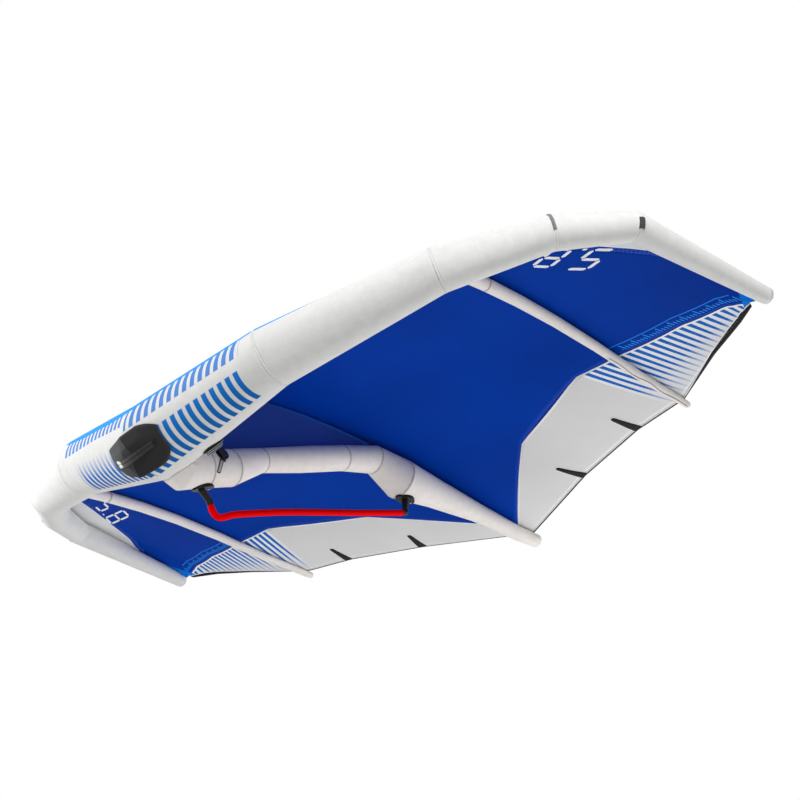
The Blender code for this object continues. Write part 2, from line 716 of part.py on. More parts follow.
def centre_strut_axis(grids):
    line = centre_line(grids)
    points, radii = [], []
    for place, lift, size, name in CENTRE_STRUT_SHARES:
        y = place * CHORD
        radius = size * STRUT_RADIUS
        if lift is None:
            z = height_along(line, y) - (radius + SHEET_CLEARANCE) * STRUT_HANG_SHARE
        else:
            z = lift * LE_RADIUS
        points.append(Vector((0.0, y, z)))
        radii.append(radius)
    hung = [i for i, row in enumerate(CENTRE_STRUT_SHARES) if row[1] is None]
    lower_under(line, points, radii, hung)
    return points, radii


def lower_under(line, points, radii, hung):
    """Lowers a strut's hung stations until its straight lengths clear the canopy's line."""
    for i in hung[:-1]:
        for k in range(1, HANG_STEPS):
            t = k / HANG_STEPS
            spot = mix(points[i], points[i + 1], t)
            top = spot.z + mix(radii[i], radii[i + 1], t) * STRUT_HANG_SHARE
            rise = top + SHEET_CLEARANCE - height_along(line, spot.y)
            if rise > 0.0:
                points[i].z -= rise / 2.0
                points[i + 1].z -= rise / 2.0


def build_centre_strut(points, radii, leading_edge_cutter):
    rings = path_rings(points, radii, STRUT_SIDES)
    starts = [i for i, row in enumerate(CENTRE_STRUT_SHARES) if row[3]]
    for first, last in zip(starts, starts[1:] + [len(points) - 1]):
        name = CENTRE_STRUT_SHARES[first][3]
        chosen = rings[first:last + 1]
        loops = [list(loop) for centre, normal, loop in chosen]
        if first > 0:
            loops[0] = shift(loops[0], chosen[0][1] * (SEAM_GAP / 2.0))
        end_wall = END_WALL if last == len(points) - 1 else 0.0
        if not end_wall:
            loops[-1] = shift(loops[-1], chosen[-1][1] * (-SEAM_GAP / 2.0))
        obj = shell_tube(name, loops, [c for c, n, p in chosen], TUBE_WALL, "strut_cloth", end_wall)
        if first == 0:
            cut(obj, leading_edge_cutter)
    fat = [radius + STRUT_SEAT_GAP for radius in radii]
    loops = [loop for centre, normal, loop in path_rings(points, fat, STRUT_SIDES)]
    cutter = solid_tube("centre_strut_cutter", loops, "strut_cloth", group=cutters)
    return rings, cutter


def build_web(grids, strut_rings, leading_edge_cutter):
    """Upright cloth between the centre strut's neck and the canopy."""
    tops = [(loop[0].y, loop[0].z) for centre, normal, loop in strut_rings]
    line = centre_line(grids)
    knee = strut_rings[7][2][0].y - WEB_END
    start = LE_POINTS[LE_MIDDLE].y + LE_RADIUS * 0.4
    places = sorted({start, knee} | {y for y, z in tops + line if start < y < knee})
    grid = []
    for y in places:
        low = height_along(tops, y) + SHEET_CLEARANCE
        high = max(height_along(line, y) - SHEET_CLEARANCE, low + SHEET)
        grid.append([Vector((0.0, y, mix(low, high, t))) for t in (0.0, 0.5, 1.0)])
    verts = [p for column_points in grid for p in column_points]
    rows = len(grid[0])
    faces = []
    for i in range(len(grid) - 1):
        for j in range(rows - 1):
            a, b = i * rows + j, (i + 1) * rows + j
            faces.append((a, b, b + 1, a + 1))
    obj = new_object("strut_web", verts, faces, "web_cloth")
    solidify = obj.modifiers.new("cloth", "SOLIDIFY")
    solidify.thickness = SHEET
    solidify.offset = 0.0
    cut(obj, leading_edge_cutter)
    return obj


# Side struts

def side_strut_axis(grids):
    """Axis points and radii of the +X side strut, from inside the leading edge to its tail."""
    share = SIDE_STRUT_X / HALF_SPAN
    line = [Vector((SIDE_STRUT_X, p.y, p.z)) for p in
            grids["canopy_front"][-1] + grids["canopy_rear"][-1] + grids["edge_tape_inner"][-1]]
    flat = [(p.y, p.z) for p in line]
    crown, tail, camber = station(share)
    point, le_radius, along = leading_edge_at(share)
    points = [point + UP * (le_radius * SIDE_STRUT_FRONT_LIFT_SHARE)]
    radii = [SIDE_STRUT_ROOT_RADIUS]
    first, last = SIDE_STRUT_ROW_SHARES[0], SIDE_STRUT_ROW_SHARES[-1]
    for row in SIDE_STRUT_ROW_SHARES:
        y = mix(crown.y, tail.y, row)
        radius = mix(SIDE_STRUT_ROOT_RADIUS, SIDE_STRUT_END_RADIUS, (row - first) / (last - first))
        step = TAPE_WIDTH / 2.0
        slope = (height_along(flat, y + step) - height_along(flat, y - step)) / (2.0 * step)
        drop = (radius + SHEET_CLEARANCE) * STRUT_HANG_SHARE * math.sqrt(1.0 + slope ** 2)
        points.append(Vector((SIDE_STRUT_X, y, height_along(flat, y) - drop)))
        radii.append(radius)
    lower_under(flat, points, radii, list(range(1, len(points))))
    return points, radii


def build_side_struts(points, radii, leading_edge_cutter):
    for suffix, side in (("R", 1.0), ("L", -1.0)):
        path = [Vector((p.x * side, p.y, p.z)) for p in points]
        rings = path_rings(path, radii, SIDE_STRUT_SIDES)
        seam = SIDE_STRUT_SEAM_ROW + 1
        for name, first, last in (("side_strut_front", 0, seam), ("side_strut_main", seam, len(path) - 1)):
            chosen = rings[first:last + 1]
            loops = [list(loop) for centre, normal, loop in chosen]
            end_wall = END_WALL if last == len(path) - 1 else 0.0
            if first > 0:
                loops[0] = shift(loops[0], chosen[0][1] * (SEAM_GAP / 2.0))
            if not end_wall:
                loops[-1] = shift(loops[-1], chosen[-1][1] * (-SEAM_GAP / 2.0))
            obj = shell_tube(f"{name}_{suffix}", loops, [c for c, n, p in chosen], TUBE_WALL,
                             "strut_cloth", end_wall)
            if first == 0:
                cut(obj, leading_edge_cutter)


# Bladders

def build_bladders(strut_points, strut_radii, side_points, side_radii):
    slim = TUBE_WALL + BLADDER_CLEARANCE
    out, normal, along = leading_edge_surface(LE_VALVE_X / HALF_SPAN, LE_VALVE_ANGLE)
    port = cylinder("le_bladder_port", out - normal * (LE_RADIUS * 0.5), normal,
                    LE_VALVE_BORE + VALVE_WALL + SHEET_CLEARANCE,
                    LE_RADIUS * 0.5 + OVERRUN, "bladder_film", group=cutters)
    points = list(LE_POINTS)
    points[0] = mix(points[0], points[1], 0.02)
    points[-1] = mix(points[-1], points[-2], 0.02)
    bladder("le_bladder", points, [radius - slim for radius in LE_RADII], LE_SIDES, [port])
    radii = [radius - slim for radius in strut_radii]
    path = list(strut_points[2:])
    path[0] = mix(strut_points[1], strut_points[2], BLADDER_START_SHARE)
    path[-1] = mix(strut_points[-1], strut_points[-2], 0.1)
    out, normal = strut_valve_place(strut_points, strut_radii)[:2]
    port = cylinder("center_bladder_port", out - normal * OVERRUN, normal,
                    STRUT_VALVE_BORE + VALVE_WALL + SHEET_CLEARANCE, OVERRUN * 2.0, "bladder_film", group=cutters)
    bladder("center_strut_bladder", path, radii[2:], STRUT_SIDES, [port])
    for suffix, side in (("R", 1.0), ("L", -1.0)):
        path = [Vector((p.x * side, p.y, p.z)) for p in side_points[1:]]
        path[-1] = mix(path[-1], path[-2], 0.1)
        path[0] = mix(path[0], path[1], 0.1)
        port = cylinder(f"side_bladder_port_{suffix}", path[0] - Vector((0.0, OVERRUN / 2.0, 0.0)),
                        Vector((0.0, 1.0, 0.0)), PORT_RADIUS, OVERRUN, "bladder_film", group=cutters)
        bladder(f"side_strut_bladder_{suffix}", path, [radius - slim for radius in side_radii[1:]],
                SIDE_STRUT_SIDES, [port])


# Boom

def boom_points(shares):
    """Smooth path through the boom's own points."""
    given = [Vector((0.0, y * CHORD, z * BOOM_DROP)) for y, z in shares]
    points = []
    for i in range(len(given) - 1):
        before = given[max(i - 1, 0)]
        after = given[min(i + 2, len(given) - 1)]
        for k in range(BOOM_STEPS):
            t = k / BOOM_STEPS
            p, q = given[i], given[i + 1]
            points.append(0.5 * ((2.0 * p) + (q - before) * t + (2.0 * before - 5.0 * p + 4.0 * q - after) * t * t
                                 + (3.0 * p - before - 3.0 * q + after) * t ** 3))
    return points + [given[-1]]


def tube_curve(name, points, radius, slot, group=None, origin=None):
    """Round bar along a path of points, as a mesh so that it can be cut."""
    curve = bpy.data.curves.new(name, "CURVE")
    curve.dimensions = "3D"
    curve.bevel_depth = radius
    curve.bevel_resolution = BAR_RESOLUTION
    curve.use_fill_caps = True
    spline = curve.splines.new("POLY")
    spline.points.add(len(points) - 1)
    for place, point in zip(spline.points, points):
        place.co = (*point, 1.0)
    bar = bpy.data.objects.new(name, curve)
    bpy.context.scene.collection.objects.link(bar)
    bpy.context.view_layer.update()
    mesh = bpy.data.meshes.new_from_object(bar.evaluated_get(bpy.context.evaluated_depsgraph_get()))
    bpy.data.objects.remove(bar, do_unlink=True)
    build = bmesh.new()
    build.from_mesh(mesh)
    bmesh.ops.remove_doubles(build, verts=build.verts, dist=radius * MERGE_SHARE)
    bmesh.ops.recalc_face_normals(build, faces=build.faces)
    build.to_mesh(mesh)
    build.free()
    mesh.name = name
    mesh.materials.clear()
    mesh.materials.append(MATERIALS[slot])
    mesh.shade_smooth()
    mesh.set_sharp_from_angle(angle=math.radians(35))
    obj = bpy.data.objects.new(name, mesh)
    (group or wing).objects.link(obj)
    return obj


def join(obj, other):
    other.hide_render = True
    other.display_type = "WIRE"
    modifier = obj.modifiers.new(f"join_{other.name}", "BOOLEAN")
    modifier.operation = "UNION"
    modifier.object = other
    modifier.solver = "EXACT"


def box(name, centre, axes, size, slot, group=None):
    """Box with its sides along three directions."""
    bpy.ops.mesh.primitive_cube_add(size=1.0)
    obj = bpy.context.object
    obj.name = name
    turn = Matrix([list(axis.normalized()) for axis in axes]).transposed().to_4x4()
    obj.data.transform(Matrix.Translation(centre) @ turn @ Matrix.Diagonal((*size, 1.0)))
    obj.data.materials.append(MATERIALS[slot])
    for owner in list(obj.users_collection):
        owner.objects.unlink(obj)
    (group or wing).objects.link(obj)
    return obj


def strut_foot(points, radii, y):
    """Point on the centre strut's underside, with the directions along and away from it."""
    for i in range(len(points) - 1):
        if y <= points[i + 1].y:
            break
    t = (y - points[i].y) / (points[i + 1].y - points[i].y)
    along = (points[i + 1] - points[i]).normalized()
    down = Vector((0.0, along.z, -along.y))
    return mix(points[i], points[i + 1], t) + down * mix(radii[i], radii[i + 1], t), along, down


def oval(name, foot, along, down, depth, stand, size, slot, group=None):
    """Upright oval block from a depth inside the strut to its stand outside."""
    bpy.ops.mesh.primitive_cylinder_add(vertices=VALVE_SIDES, radius=0.5, depth=1.0)
    obj = bpy.context.object
    obj.name = name
    turn = Matrix([list(along), list(down.cross(along)), list(down)]).transposed().to_4x4()
    middle = foot + down * ((stand - depth) / 2.0)
    obj.data.transform(Matrix.Translation(middle) @ turn
                       @ Matrix.Diagonal((size[0], size[1], stand + depth, 1.0)))
    obj.data.materials.append(MATERIALS[slot])
    obj.data.shade_smooth()
    obj.data.set_sharp_from_angle(angle=math.radians(35))
    for owner in list(obj.users_collection):
        owner.objects.unlink(obj)
    (group or wing).objects.link(obj)
    return obj


def build_boom(strut_points, strut_radii, strut_cutter):
    path = boom_points(BOOM_BEND_SHARES)[:-1] + boom_points(BOOM_BAR_SHARES)
    first = (path[1] - path[0]).normalized()
    last = (path[-1] - path[-2]).normalized()
    grip = tube_curve("boom_grip", [path[0] + first * GAP] + path[1:-1] + [path[-1] - last * GAP],
                      GRIP_RADIUS, "grip_foam")
    inside = [path[0] - first * OVERRUN] + path[1:-1] + [path[-1] + last * OVERRUN]
    cut(grip, tube_curve("grip_bore", inside, BOOM_TUBE_RADIUS + GAP, "grip_foam", group=cutters))
    tube_path = [path[0] - first * SOCKET_DEPTH] + path[1:-1] + [path[-1] + last * SOCKET_DEPTH]
    tube = tube_curve("boom_tube", tube_path, BOOM_TUBE_RADIUS, "boom_tube")
    longer = [tube_path[0] - first * OVERRUN] + path[1:-1] + [tube_path[-1] + last * OVERRUN]
    cut(tube, tube_curve("boom_bore", longer, BOOM_TUBE_RADIUS - BOOM_TUBE_WALL, "boom_tube", group=cutters))
    socket_path = [tube_path[0] - first * GAP] + path[1:-1] + [tube_path[-1] + last * GAP]
    socket = tube_curve("boom_socket_cutter", socket_path, BOOM_TUBE_RADIUS + GAP, "boom_tube", group=cutters)
    middles = []
    for name, place, corners in (
            ("boom_mount_front", FRONT_BOOT_SHARE * CHORD,
             [path[0] - first * ARM_STRAIGHT, path[0]]),
            ("boom_mount_rear", REAR_BOOT_SHARE * CHORD,
             [path[-1] + last * ARM_STRAIGHT, path[-1]])):
        foot, along, down = strut_foot(strut_points, strut_radii, place)
        block = oval(name, foot, along, down, BOOT_HEIGHT, BOOT_STAND, (BOOT_LENGTH, BOOT_WIDTH), "black_plastic")
        root = foot - along * (ARM_OFFSET if name == "boom_mount_front" else 0.0)
        arm = tube_curve(f"{name}_arm", [root - down * BOOT_STAND, root + down * BOOT_STAND * 2.0] + corners,
                         ARM_RADIUS, "black_plastic", group=cutters)
        join(block, arm)
        cut(block, strut_cutter)
        cut(block, socket)
        bolt_foot = root + along * BOLT_OFFSET + down * (BOOT_STAND + GAP)
        cylinder(f"{name.replace('mount', 'bolt')}", bolt_foot, down, BOLT_RADIUS, BOLT_HEAD, "bolt_steel",
                 sides=VALVE_SIDES // 2)
        middles.append(foot + down * BOOT_STAND)
    return path, middles


# Front handle's pad and strap

def pad_surface(x, angle, height):
    """Point at a distance from the leading edge's middle length, in the plane of x."""
    side = -1.0 if x < 0.0 else 1.0
    start, end = LE_POINTS[LE_MIDDLE], LE_POINTS[LE_MIDDLE + 1]
    along = (end - start).normalized()
    taper = (LE_RADII[LE_MIDDLE + 1] - LE_RADII[LE_MIDDLE]) / (end - start).length
    rear = UP.cross(along).normalized()
    top = along.cross(rear)
    out = math.cos(math.radians(angle)) * rear + math.sin(math.radians(angle)) * top
    run = (abs(x) - out.x * (LE_RADIUS + height)) / (along.x + out.x * taper)
    spot = start + along * run + out * (LE_RADIUS + taper * run + height)
    return Vector((side * spot.x, spot.y, spot.z))


def pad_outline(x, column):
    places = [row[0] * (PAD_LEFT if row[0] < 0.0 else PAD_RIGHT) for row in PAD_OUTLINE_SHARES]
    return float(np.interp(x, places, [row[column] for row in PAD_OUTLINE_SHARES]))


def pad_turn(x, share):
    """Angle round the tube at a share of the pad's reach up (below zero) or down."""
    return PAD_ANGLE + share * PAD_HALF_ANGLE * pad_outline(x, 2 if share < 0.0 else 3)


def pad_height(x, angle, grow=0.0):
    share = (angle - PAD_ANGLE) / PAD_HALF_ANGLE
    share /= pad_outline(x, 2 if share < 0.0 else 3)
    across = np.interp(share, [row[0] for row in PAD_ROW_SHARES], [row[1] for row in PAD_ROW_SHARES])
    return PAD_THICKNESS * float(min(pad_outline(x, 1), across)) + grow


def block_on_tube(name, columns, rows, low, high, slot, group=None, turn=None):
    """Closed block over a patch of the leading edge, between two heights."""
    places = [(x, turn(x, a) if turn else a) for x in columns for a in rows]
    verts = [pad_surface(x, a, low(x, a)) for x, a in places]
    base = len(verts)
    verts += [pad_surface(x, a, high(x, a)) for x, a in places]
    count = len(rows)
    faces = []
    for i in range(len(columns) - 1):
        for j in range(count - 1):
            a, b = i * count + j, (i + 1) * count + j
            faces.append((a, a + 1, b + 1, b))
            faces.append((base + a, base + b, base + b + 1, base + a + 1))
    for i in range(len(columns) - 1):
        a, b = i * count, (i + 1) * count
        faces.append((a, b, base + b, base + a))
        a, b = a + count - 1, b + count - 1
        faces.append((b, a, base + a, base + b))
    last = (len(columns) - 1) * count
    for j in range(count - 1):
        faces.append((j + 1, j, base + j, base + j + 1))
        faces.append((last + j, last + j + 1, base + last + j + 1, base + last + j))
    obj = new_object(name, verts, faces, slot, group=group)
    build = bmesh.new()
    build.from_mesh(obj.data)
    bmesh.ops.recalc_face_normals(build, faces=build.faces)
    build.to_mesh(obj.data)
    build.free()
    return obj


def build_pad(leading_edge_cutter):
    columns = [row[0] * (PAD_LEFT if row[0] < 0.0 else PAD_RIGHT) for row in PAD_OUTLINE_SHARES]
    rows = [row[0] for row in PAD_ROW_SHARES]

    def inside(x, angle):
        return -PAD_THICKNESS * PAD_EDGE_SHARE

    pad = block_on_tube("handle_pad", columns, rows, inside, pad_height, "pad_foam", turn=pad_turn)
    cut(pad, leading_edge_cutter)
    pad_cutter = block_on_tube("handle_pad_cutter", columns, rows, inside,
                               lambda x, a: pad_height(x, a, GAP), "pad_foam", group=cutters, turn=pad_turn)
    half_angle = math.degrees(STRAP_WIDTH / 2.0 / (LE_RADIUS + PAD_THICKNESS))
    rows = [STRAP_ANGLE - half_angle, STRAP_ANGLE, STRAP_ANGLE + half_angle]
    ends = [STRAP_X - STRAP_HALF_LENGTH, STRAP_X + STRAP_HALF_LENGTH]
    columns = sorted({mix(ends[0], ends[1], k / STRAP_STEPS) for k in range(STRAP_STEPS + 1)} | {0.0})

    corners = [pad_surface(end, STRAP_ANGLE, 0.0) for end in ends]
    outward = (pad_surface(0.0, STRAP_ANGLE, PAD_THICKNESS) - pad_surface(0.0, STRAP_ANGLE, 0.0)).normalized()

    def strap_low(x, angle):
        run = min(max((x - ends[0]) / (ends[1] - ends[0]), 0.0), 1.0)
        ridge = (pad_surface(x, STRAP_ANGLE, 0.0) - mix(corners[0], corners[1], run)).dot(outward)
        seat = pad_height(x, STRAP_ANGLE) - STRAP_THICKNESS * STRAP_SEAT_SHARE
        return seat + 4.0 * STRAP_ARCH * run * (1.0 - run) - ridge

    strap = block_on_tube("handle_strap", columns, rows, strap_low,
                          lambda x, a: strap_low(x, a) + STRAP_THICKNESS, "webbing")
    cut(strap, pad_cutter)
    wide = [STRAP_ANGLE - half_angle * KEEPER_SCALE_SHARE, STRAP_ANGLE, STRAP_ANGLE + half_angle * KEEPER_SCALE_SHARE]
    for suffix, end, side in (("L", ends[0], -1.0), ("R", ends[1], 1.0)):
        places = sorted([end + side * GAP, end + side * (GAP + KEEPER_LENGTH)])
        keeper = block_on_tube(f"handle_keeper_{suffix}", places, wide,
                               lambda x, a: pad_height(x, a) - STRAP_THICKNESS,
                               lambda x, a: pad_height(x, a) + STRAP_THICKNESS, "bolt_steel")
        cut(keeper, pad_cutter)


# Valves

def hinged_cap(prefix, seat, normal, hinge, cap_radius, cap_height, reach, tab=None):
    """Cap on a seat, with a knuckle on a pin at one side. Returns the pieces of the seat's own hinge."""
    axis = normal.cross(hinge).normalized()
    pivot = seat + normal * (GAP + cap_height / 2.0) + hinge * reach
    cap = cylinder(f"{prefix}_cap", seat + normal * GAP, normal, cap_radius, cap_height, "grey_plastic",
                   origin=pivot)
    knuckle = cylinder(f"{prefix}_knuckle", pivot - axis * (KNUCKLE_LENGTH / 2.0), axis, cap_height / 2.0,
                       KNUCKLE_LENGTH, "grey_plastic", group=cutters, sides=VALVE_SIDES // 2)
    bridge = box(f"{prefix}_bridge", mix(seat + normal * (GAP + cap_height / 2.0) + hinge * (cap_radius * 0.5),
                                         pivot, 0.5), (hinge, axis, normal),
                 ((pivot - seat).dot(hinge) - cap_radius * 0.5, KNUCKLE_LENGTH * 0.8, cap_height * 0.6),
                 "grey_plastic", group=cutters)
    join(cap, knuckle)
    join(cap, bridge)
    if tab:
        width, length = tab
        join(cap, box(f"{prefix}_tab", seat + normal * (GAP + cap_height / 2.0)
                      - hinge * (cap_radius * 0.9 + length / 2.0),
                      (hinge, axis, normal), (length, width, cap_height * 0.5), "grey_plastic", group=cutters))
    pin_length = KNUCKLE_LENGTH + 2.0 * (GAP + CHEEK_THICKNESS)
    cut(cap, cylinder(f"{prefix}_pin_bore", pivot - axis * (pin_length / 2.0 + OVERRUN), axis, PIN_RADIUS + GAP,
                      pin_length + 2.0 * OVERRUN, "grey_plastic", group=cutters, sides=VALVE_SIDES // 2))
    inner_length = pin_length - CHEEK_THICKNESS
    pieces = [cylinder(f"{prefix}_pin", pivot - axis * (inner_length / 2.0), axis, PIN_RADIUS, inner_length,
                       "grey_plastic", group=cutters, sides=VALVE_SIDES // 2)]
    height = GAP + cap_height / 2.0 + PIN_RADIUS * 2.0
    for side in (-1.0, 1.0):
        middle = (pivot + axis * side * ((pin_length - CHEEK_THICKNESS) / 2.0)
                  + normal * (PIN_RADIUS * 2.0 - (height + CHEEK_THICKNESS) / 2.0))
        pieces.append(box(f"{prefix}_cheek_{'ab'[side > 0]}", middle, (hinge, axis, normal),
                          (PIN_RADIUS * 4.0, CHEEK_THICKNESS, height + CHEEK_THICKNESS), "grey_plastic",
                          group=cutters))
    return pivot, axis, pieces


def build_le_valve(leading_edge_cutter):
    out, normal, along = leading_edge_surface(LE_VALVE_X / HALF_SPAN, LE_VALVE_ANGLE)
    seat_depth = LE_VALVE_FLANGE_RADIUS * FLANGE_SEAT_SHARE
    base = cylinder("le_valve_base", out - normal * seat_depth, normal, LE_VALVE_FLANGE_RADIUS,
                    seat_depth + LE_VALVE_FLANGE_HEIGHT, "black_plastic")
    cut(base, leading_edge_cutter)
    neck_radius = LE_VALVE_BORE + VALVE_WALL
    join(base, cylinder("le_valve_neck", out - normal * LE_NECK_DEPTH, normal, neck_radius,
                        LE_NECK_DEPTH + LE_VALVE_FLANGE_HEIGHT, "black_plastic", group=cutters))
    cut(base, cylinder("le_valve_bore", out - normal * OVERRUN, normal, LE_VALVE_BORE,
                       2.0 * OVERRUN, "black_plastic", group=cutters))
    hole = cylinder("le_valve_hole", out - normal * OVERRUN, normal, neck_radius + GAP, 2.0 * OVERRUN,
                    "black_plastic", group=cutters)
    cut(bpy.data.objects["le_center"], hole)
    seat = out + normal * (LE_VALVE_FLANGE_HEIGHT + GAP)
    collar = cylinder("le_valve_collar", seat, normal, LE_VALVE_COLLAR_RADIUS, LE_VALVE_COLLAR_HEIGHT,
                      "grey_plastic")
    cut(collar, cylinder("le_collar_bore", seat - normal * OVERRUN, normal, LE_VALVE_BORE,
                         LE_VALVE_COLLAR_HEIGHT + 2.0 * OVERRUN, "grey_plastic", group=cutters))
    hinge = -(along - along.dot(normal) * normal).normalized()
    pivot, axis, pieces = hinged_cap("le_valve", seat + normal * LE_VALVE_COLLAR_HEIGHT, normal, hinge,
                                     LE_VALVE_CAP_RADIUS, LE_VALVE_CAP_HEIGHT,
                                     LE_VALVE_COLLAR_RADIUS - PIN_RADIUS * 3.0)
    for piece in pieces:
        join(collar, piece)
    return pivot, axis


def strut_valve_place(strut_points, strut_radii):
    """Valve's point on the strut's surface, and the directions away from it, along it and down."""
    y = STRUT_VALVE_PLACE_SHARE * CHORD
    foot, along, down = strut_foot(strut_points, strut_radii, y)
    for i in range(len(strut_points) - 1):
        if y <= strut_points[i + 1].y:
            break
    radius = mix(strut_radii[i], strut_radii[i + 1],
                 (y - strut_points[i].y) / (strut_points[i + 1].y - strut_points[i].y))
    centre = foot - down * radius
    side = down.cross(along) * -1.0
    if side.x < 0.0:
        side = -side
    angle = math.radians(STRUT_VALVE_ANGLE)
    normal = (side * math.cos(angle) - down * math.sin(angle)).normalized()
    return centre + normal * radius, normal, along, down


def build_strut_valve(strut_points, strut_radii, strut_cutter):
    out, normal, along, down = strut_valve_place(strut_points, strut_radii)
    seat_depth = STRUT_VALVE_RADIUS * FLANGE_SEAT_SHARE
    base = cylinder("strut_valve_base", out - normal * seat_depth, normal, STRUT_VALVE_RADIUS,
                    seat_depth + STRUT_VALVE_HEIGHT, "black_plastic")
    cut(base, strut_cutter)
    neck_radius = STRUT_VALVE_BORE + VALVE_WALL
    join(base, cylinder("strut_valve_neck", out - normal * STRUT_NECK_DEPTH, normal, neck_radius,
                        STRUT_NECK_DEPTH + STRUT_VALVE_HEIGHT, "black_plastic", group=cutters))
    cut(base, cylinder("strut_valve_bore", out - normal * OVERRUN, normal, STRUT_VALVE_BORE, 2.0 * OVERRUN,
                       "black_plastic", group=cutters))
    hole = cylinder("strut_valve_hole", out - normal * OVERRUN, normal, neck_radius + GAP, 2.0 * OVERRUN,
                    "black_plastic", group=cutters)
    cut(bpy.data.objects["center_strut_bulge"], hole)
    hinge = along * STRUT_VALVE_TILT_SHARE - down
    hinge = (hinge - hinge.dot(normal) * normal).normalized()
    pivot, axis, pieces = hinged_cap("strut_valve", out + normal * STRUT_VALVE_HEIGHT, normal, hinge,
                                     STRUT_VALVE_CAP_RADIUS, STRUT_VALVE_CAP_HEIGHT,
                                     STRUT_VALVE_RADIUS - PIN_RADIUS * 3.0,
                                     tab=(STRUT_VALVE_TAB_WIDTH, STRUT_VALVE_TAB_LENGTH))
    for piece in pieces:
        join(base, piece)
    return pivot, axis


def stand_on_origin():
    """Moves everything so that the box round the wing stands on the world's origin."""
    bpy.context.view_layer.update()
    graph = bpy.context.evaluated_depsgraph_get()
    corners = []
    for obj in wing.objects:
        mesh = obj.evaluated_get(graph).to_mesh()
        corners += [obj.matrix_world @ v.co for v in mesh.vertices]
    low = Vector([min(c[k] for c in corners) for k in range(3)])
    high = Vector([max(c[k] for c in corners) for k in range(3)])
    offset = Vector((-(low.x + high.x) / 2.0, -(low.y + high.y) / 2.0, -low.z))
    for obj in list(wing.objects) + list(cutters.objects):
        obj.location = obj.location + offset
    print("size", [round(v, 4) for v in high - low], "datum", [round(v, 5) for v in offset])
    return offset


leading_edge_cutter = build_leading_edge()
GRIDS = canopy_grids()
build_canopy(GRIDS)
build_battens(GRIDS)
STRUT_POINTS, STRUT_RADII = centre_strut_axis(GRIDS)
STRUT_RINGS, STRUT_CUTTER = build_centre_strut(STRUT_POINTS, STRUT_RADII, leading_edge_cutter)
build_web(GRIDS, STRUT_RINGS, leading_edge_cutter)
SIDE_POINTS, SIDE_RADII = side_strut_axis(GRIDS)
build_side_struts(SIDE_POINTS, SIDE_RADII, leading_edge_cutter)
build_bladders(STRUT_POINTS, STRUT_RADII, SIDE_POINTS, SIDE_RADII)
boom_path, boom_mounts = build_boom(STRUT_POINTS, STRUT_RADII, STRUT_CUTTER)
build_pad(leading_edge_cutter)
le_pivot, le_axis = build_le_valve(leading_edge_cutter)
strut_pivot, strut_axis = build_strut_valve(STRUT_POINTS, STRUT_RADII, STRUT_CUTTER)
datum = stand_on_origin()
bpy.context.view_layer.update()
print("objects", len(wing.objects))
for label, place, direction in (("le valve cap", le_pivot, le_axis), ("strut valve cap", strut_pivot, strut_axis)):
    print(label, [round(v, 5) for v in place + datum], [round(v, 5) for v in direction])
for label, place in zip(("front boom mount", "rear boom mount"), boom_mounts):
    print(label, [round(v, 4) for v in place + datum])
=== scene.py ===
import math

import bpy
import numpy as np
from mathutils import Matrix, Vector


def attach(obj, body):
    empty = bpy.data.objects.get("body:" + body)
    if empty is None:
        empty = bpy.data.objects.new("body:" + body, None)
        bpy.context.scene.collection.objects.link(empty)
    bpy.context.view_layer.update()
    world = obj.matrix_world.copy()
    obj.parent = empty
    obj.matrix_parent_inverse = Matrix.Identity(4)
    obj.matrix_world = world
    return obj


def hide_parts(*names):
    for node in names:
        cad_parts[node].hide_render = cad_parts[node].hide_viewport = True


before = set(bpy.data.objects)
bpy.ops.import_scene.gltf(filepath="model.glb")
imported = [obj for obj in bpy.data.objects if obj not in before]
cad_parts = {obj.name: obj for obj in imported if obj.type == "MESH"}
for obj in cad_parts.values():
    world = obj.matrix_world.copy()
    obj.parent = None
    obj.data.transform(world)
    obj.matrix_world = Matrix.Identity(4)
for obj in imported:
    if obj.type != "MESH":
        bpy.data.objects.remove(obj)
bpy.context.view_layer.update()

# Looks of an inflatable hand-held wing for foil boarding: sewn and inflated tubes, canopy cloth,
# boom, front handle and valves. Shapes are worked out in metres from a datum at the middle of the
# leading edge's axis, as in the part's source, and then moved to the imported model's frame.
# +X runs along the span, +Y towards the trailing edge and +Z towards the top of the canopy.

DATUM = np.array([0.0, -0.98119, 0.25024])
UP = np.array([0.0, 0.0, 1.0])

HALF_SPAN = 1.686
SWEEP = 1.466
RISE = 0.354
CHORD = 2.11
LE_RADIUS = 0.143
SIDE_STRUT_X = 1.097
SHEET = 0.001
SEAM_GAP = 0.0004
LANDING_CLEARANCE = 0.002
TAPE_WIDTH = 0.018
TUBE_WALL = 0.0012

# Leading edge bends: x, y, z and radius, from the middle to the tip
LE_BENDS = np.array([
    (0.0, 0.0, 0.0, 1.0), (0.317, 0.064, 0.359, 0.773), (0.663, 0.225, 0.735, 0.559),
    (0.8485, 0.3895, 0.935, 0.431), (0.950, 0.553, 1.0, 0.367), (1.0, 1.0, 0.712, 0.217),
]) * (HALF_SPAN, SWEEP, RISE, LE_RADIUS)
LE_SHARES = LE_BENDS[:, 0] / HALF_SPAN
# Trailing edge: share of the half span on the leading edge, then x, y and z
TAIL = np.array([
    (0.0, 0.0, 1.0, 0.101), (0.283, 0.283, 0.9015, 0.269), (0.497, 0.497, 0.852, 0.386),
    (0.651, 0.651, 0.834, 0.442), (0.8485, 0.797, 0.771, 0.593), (0.950, 0.8995, 0.737, 0.691),
    (1.0, 0.975, 0.6915, 0.699),
]) * (1.0, HALF_SPAN, CHORD, RISE)
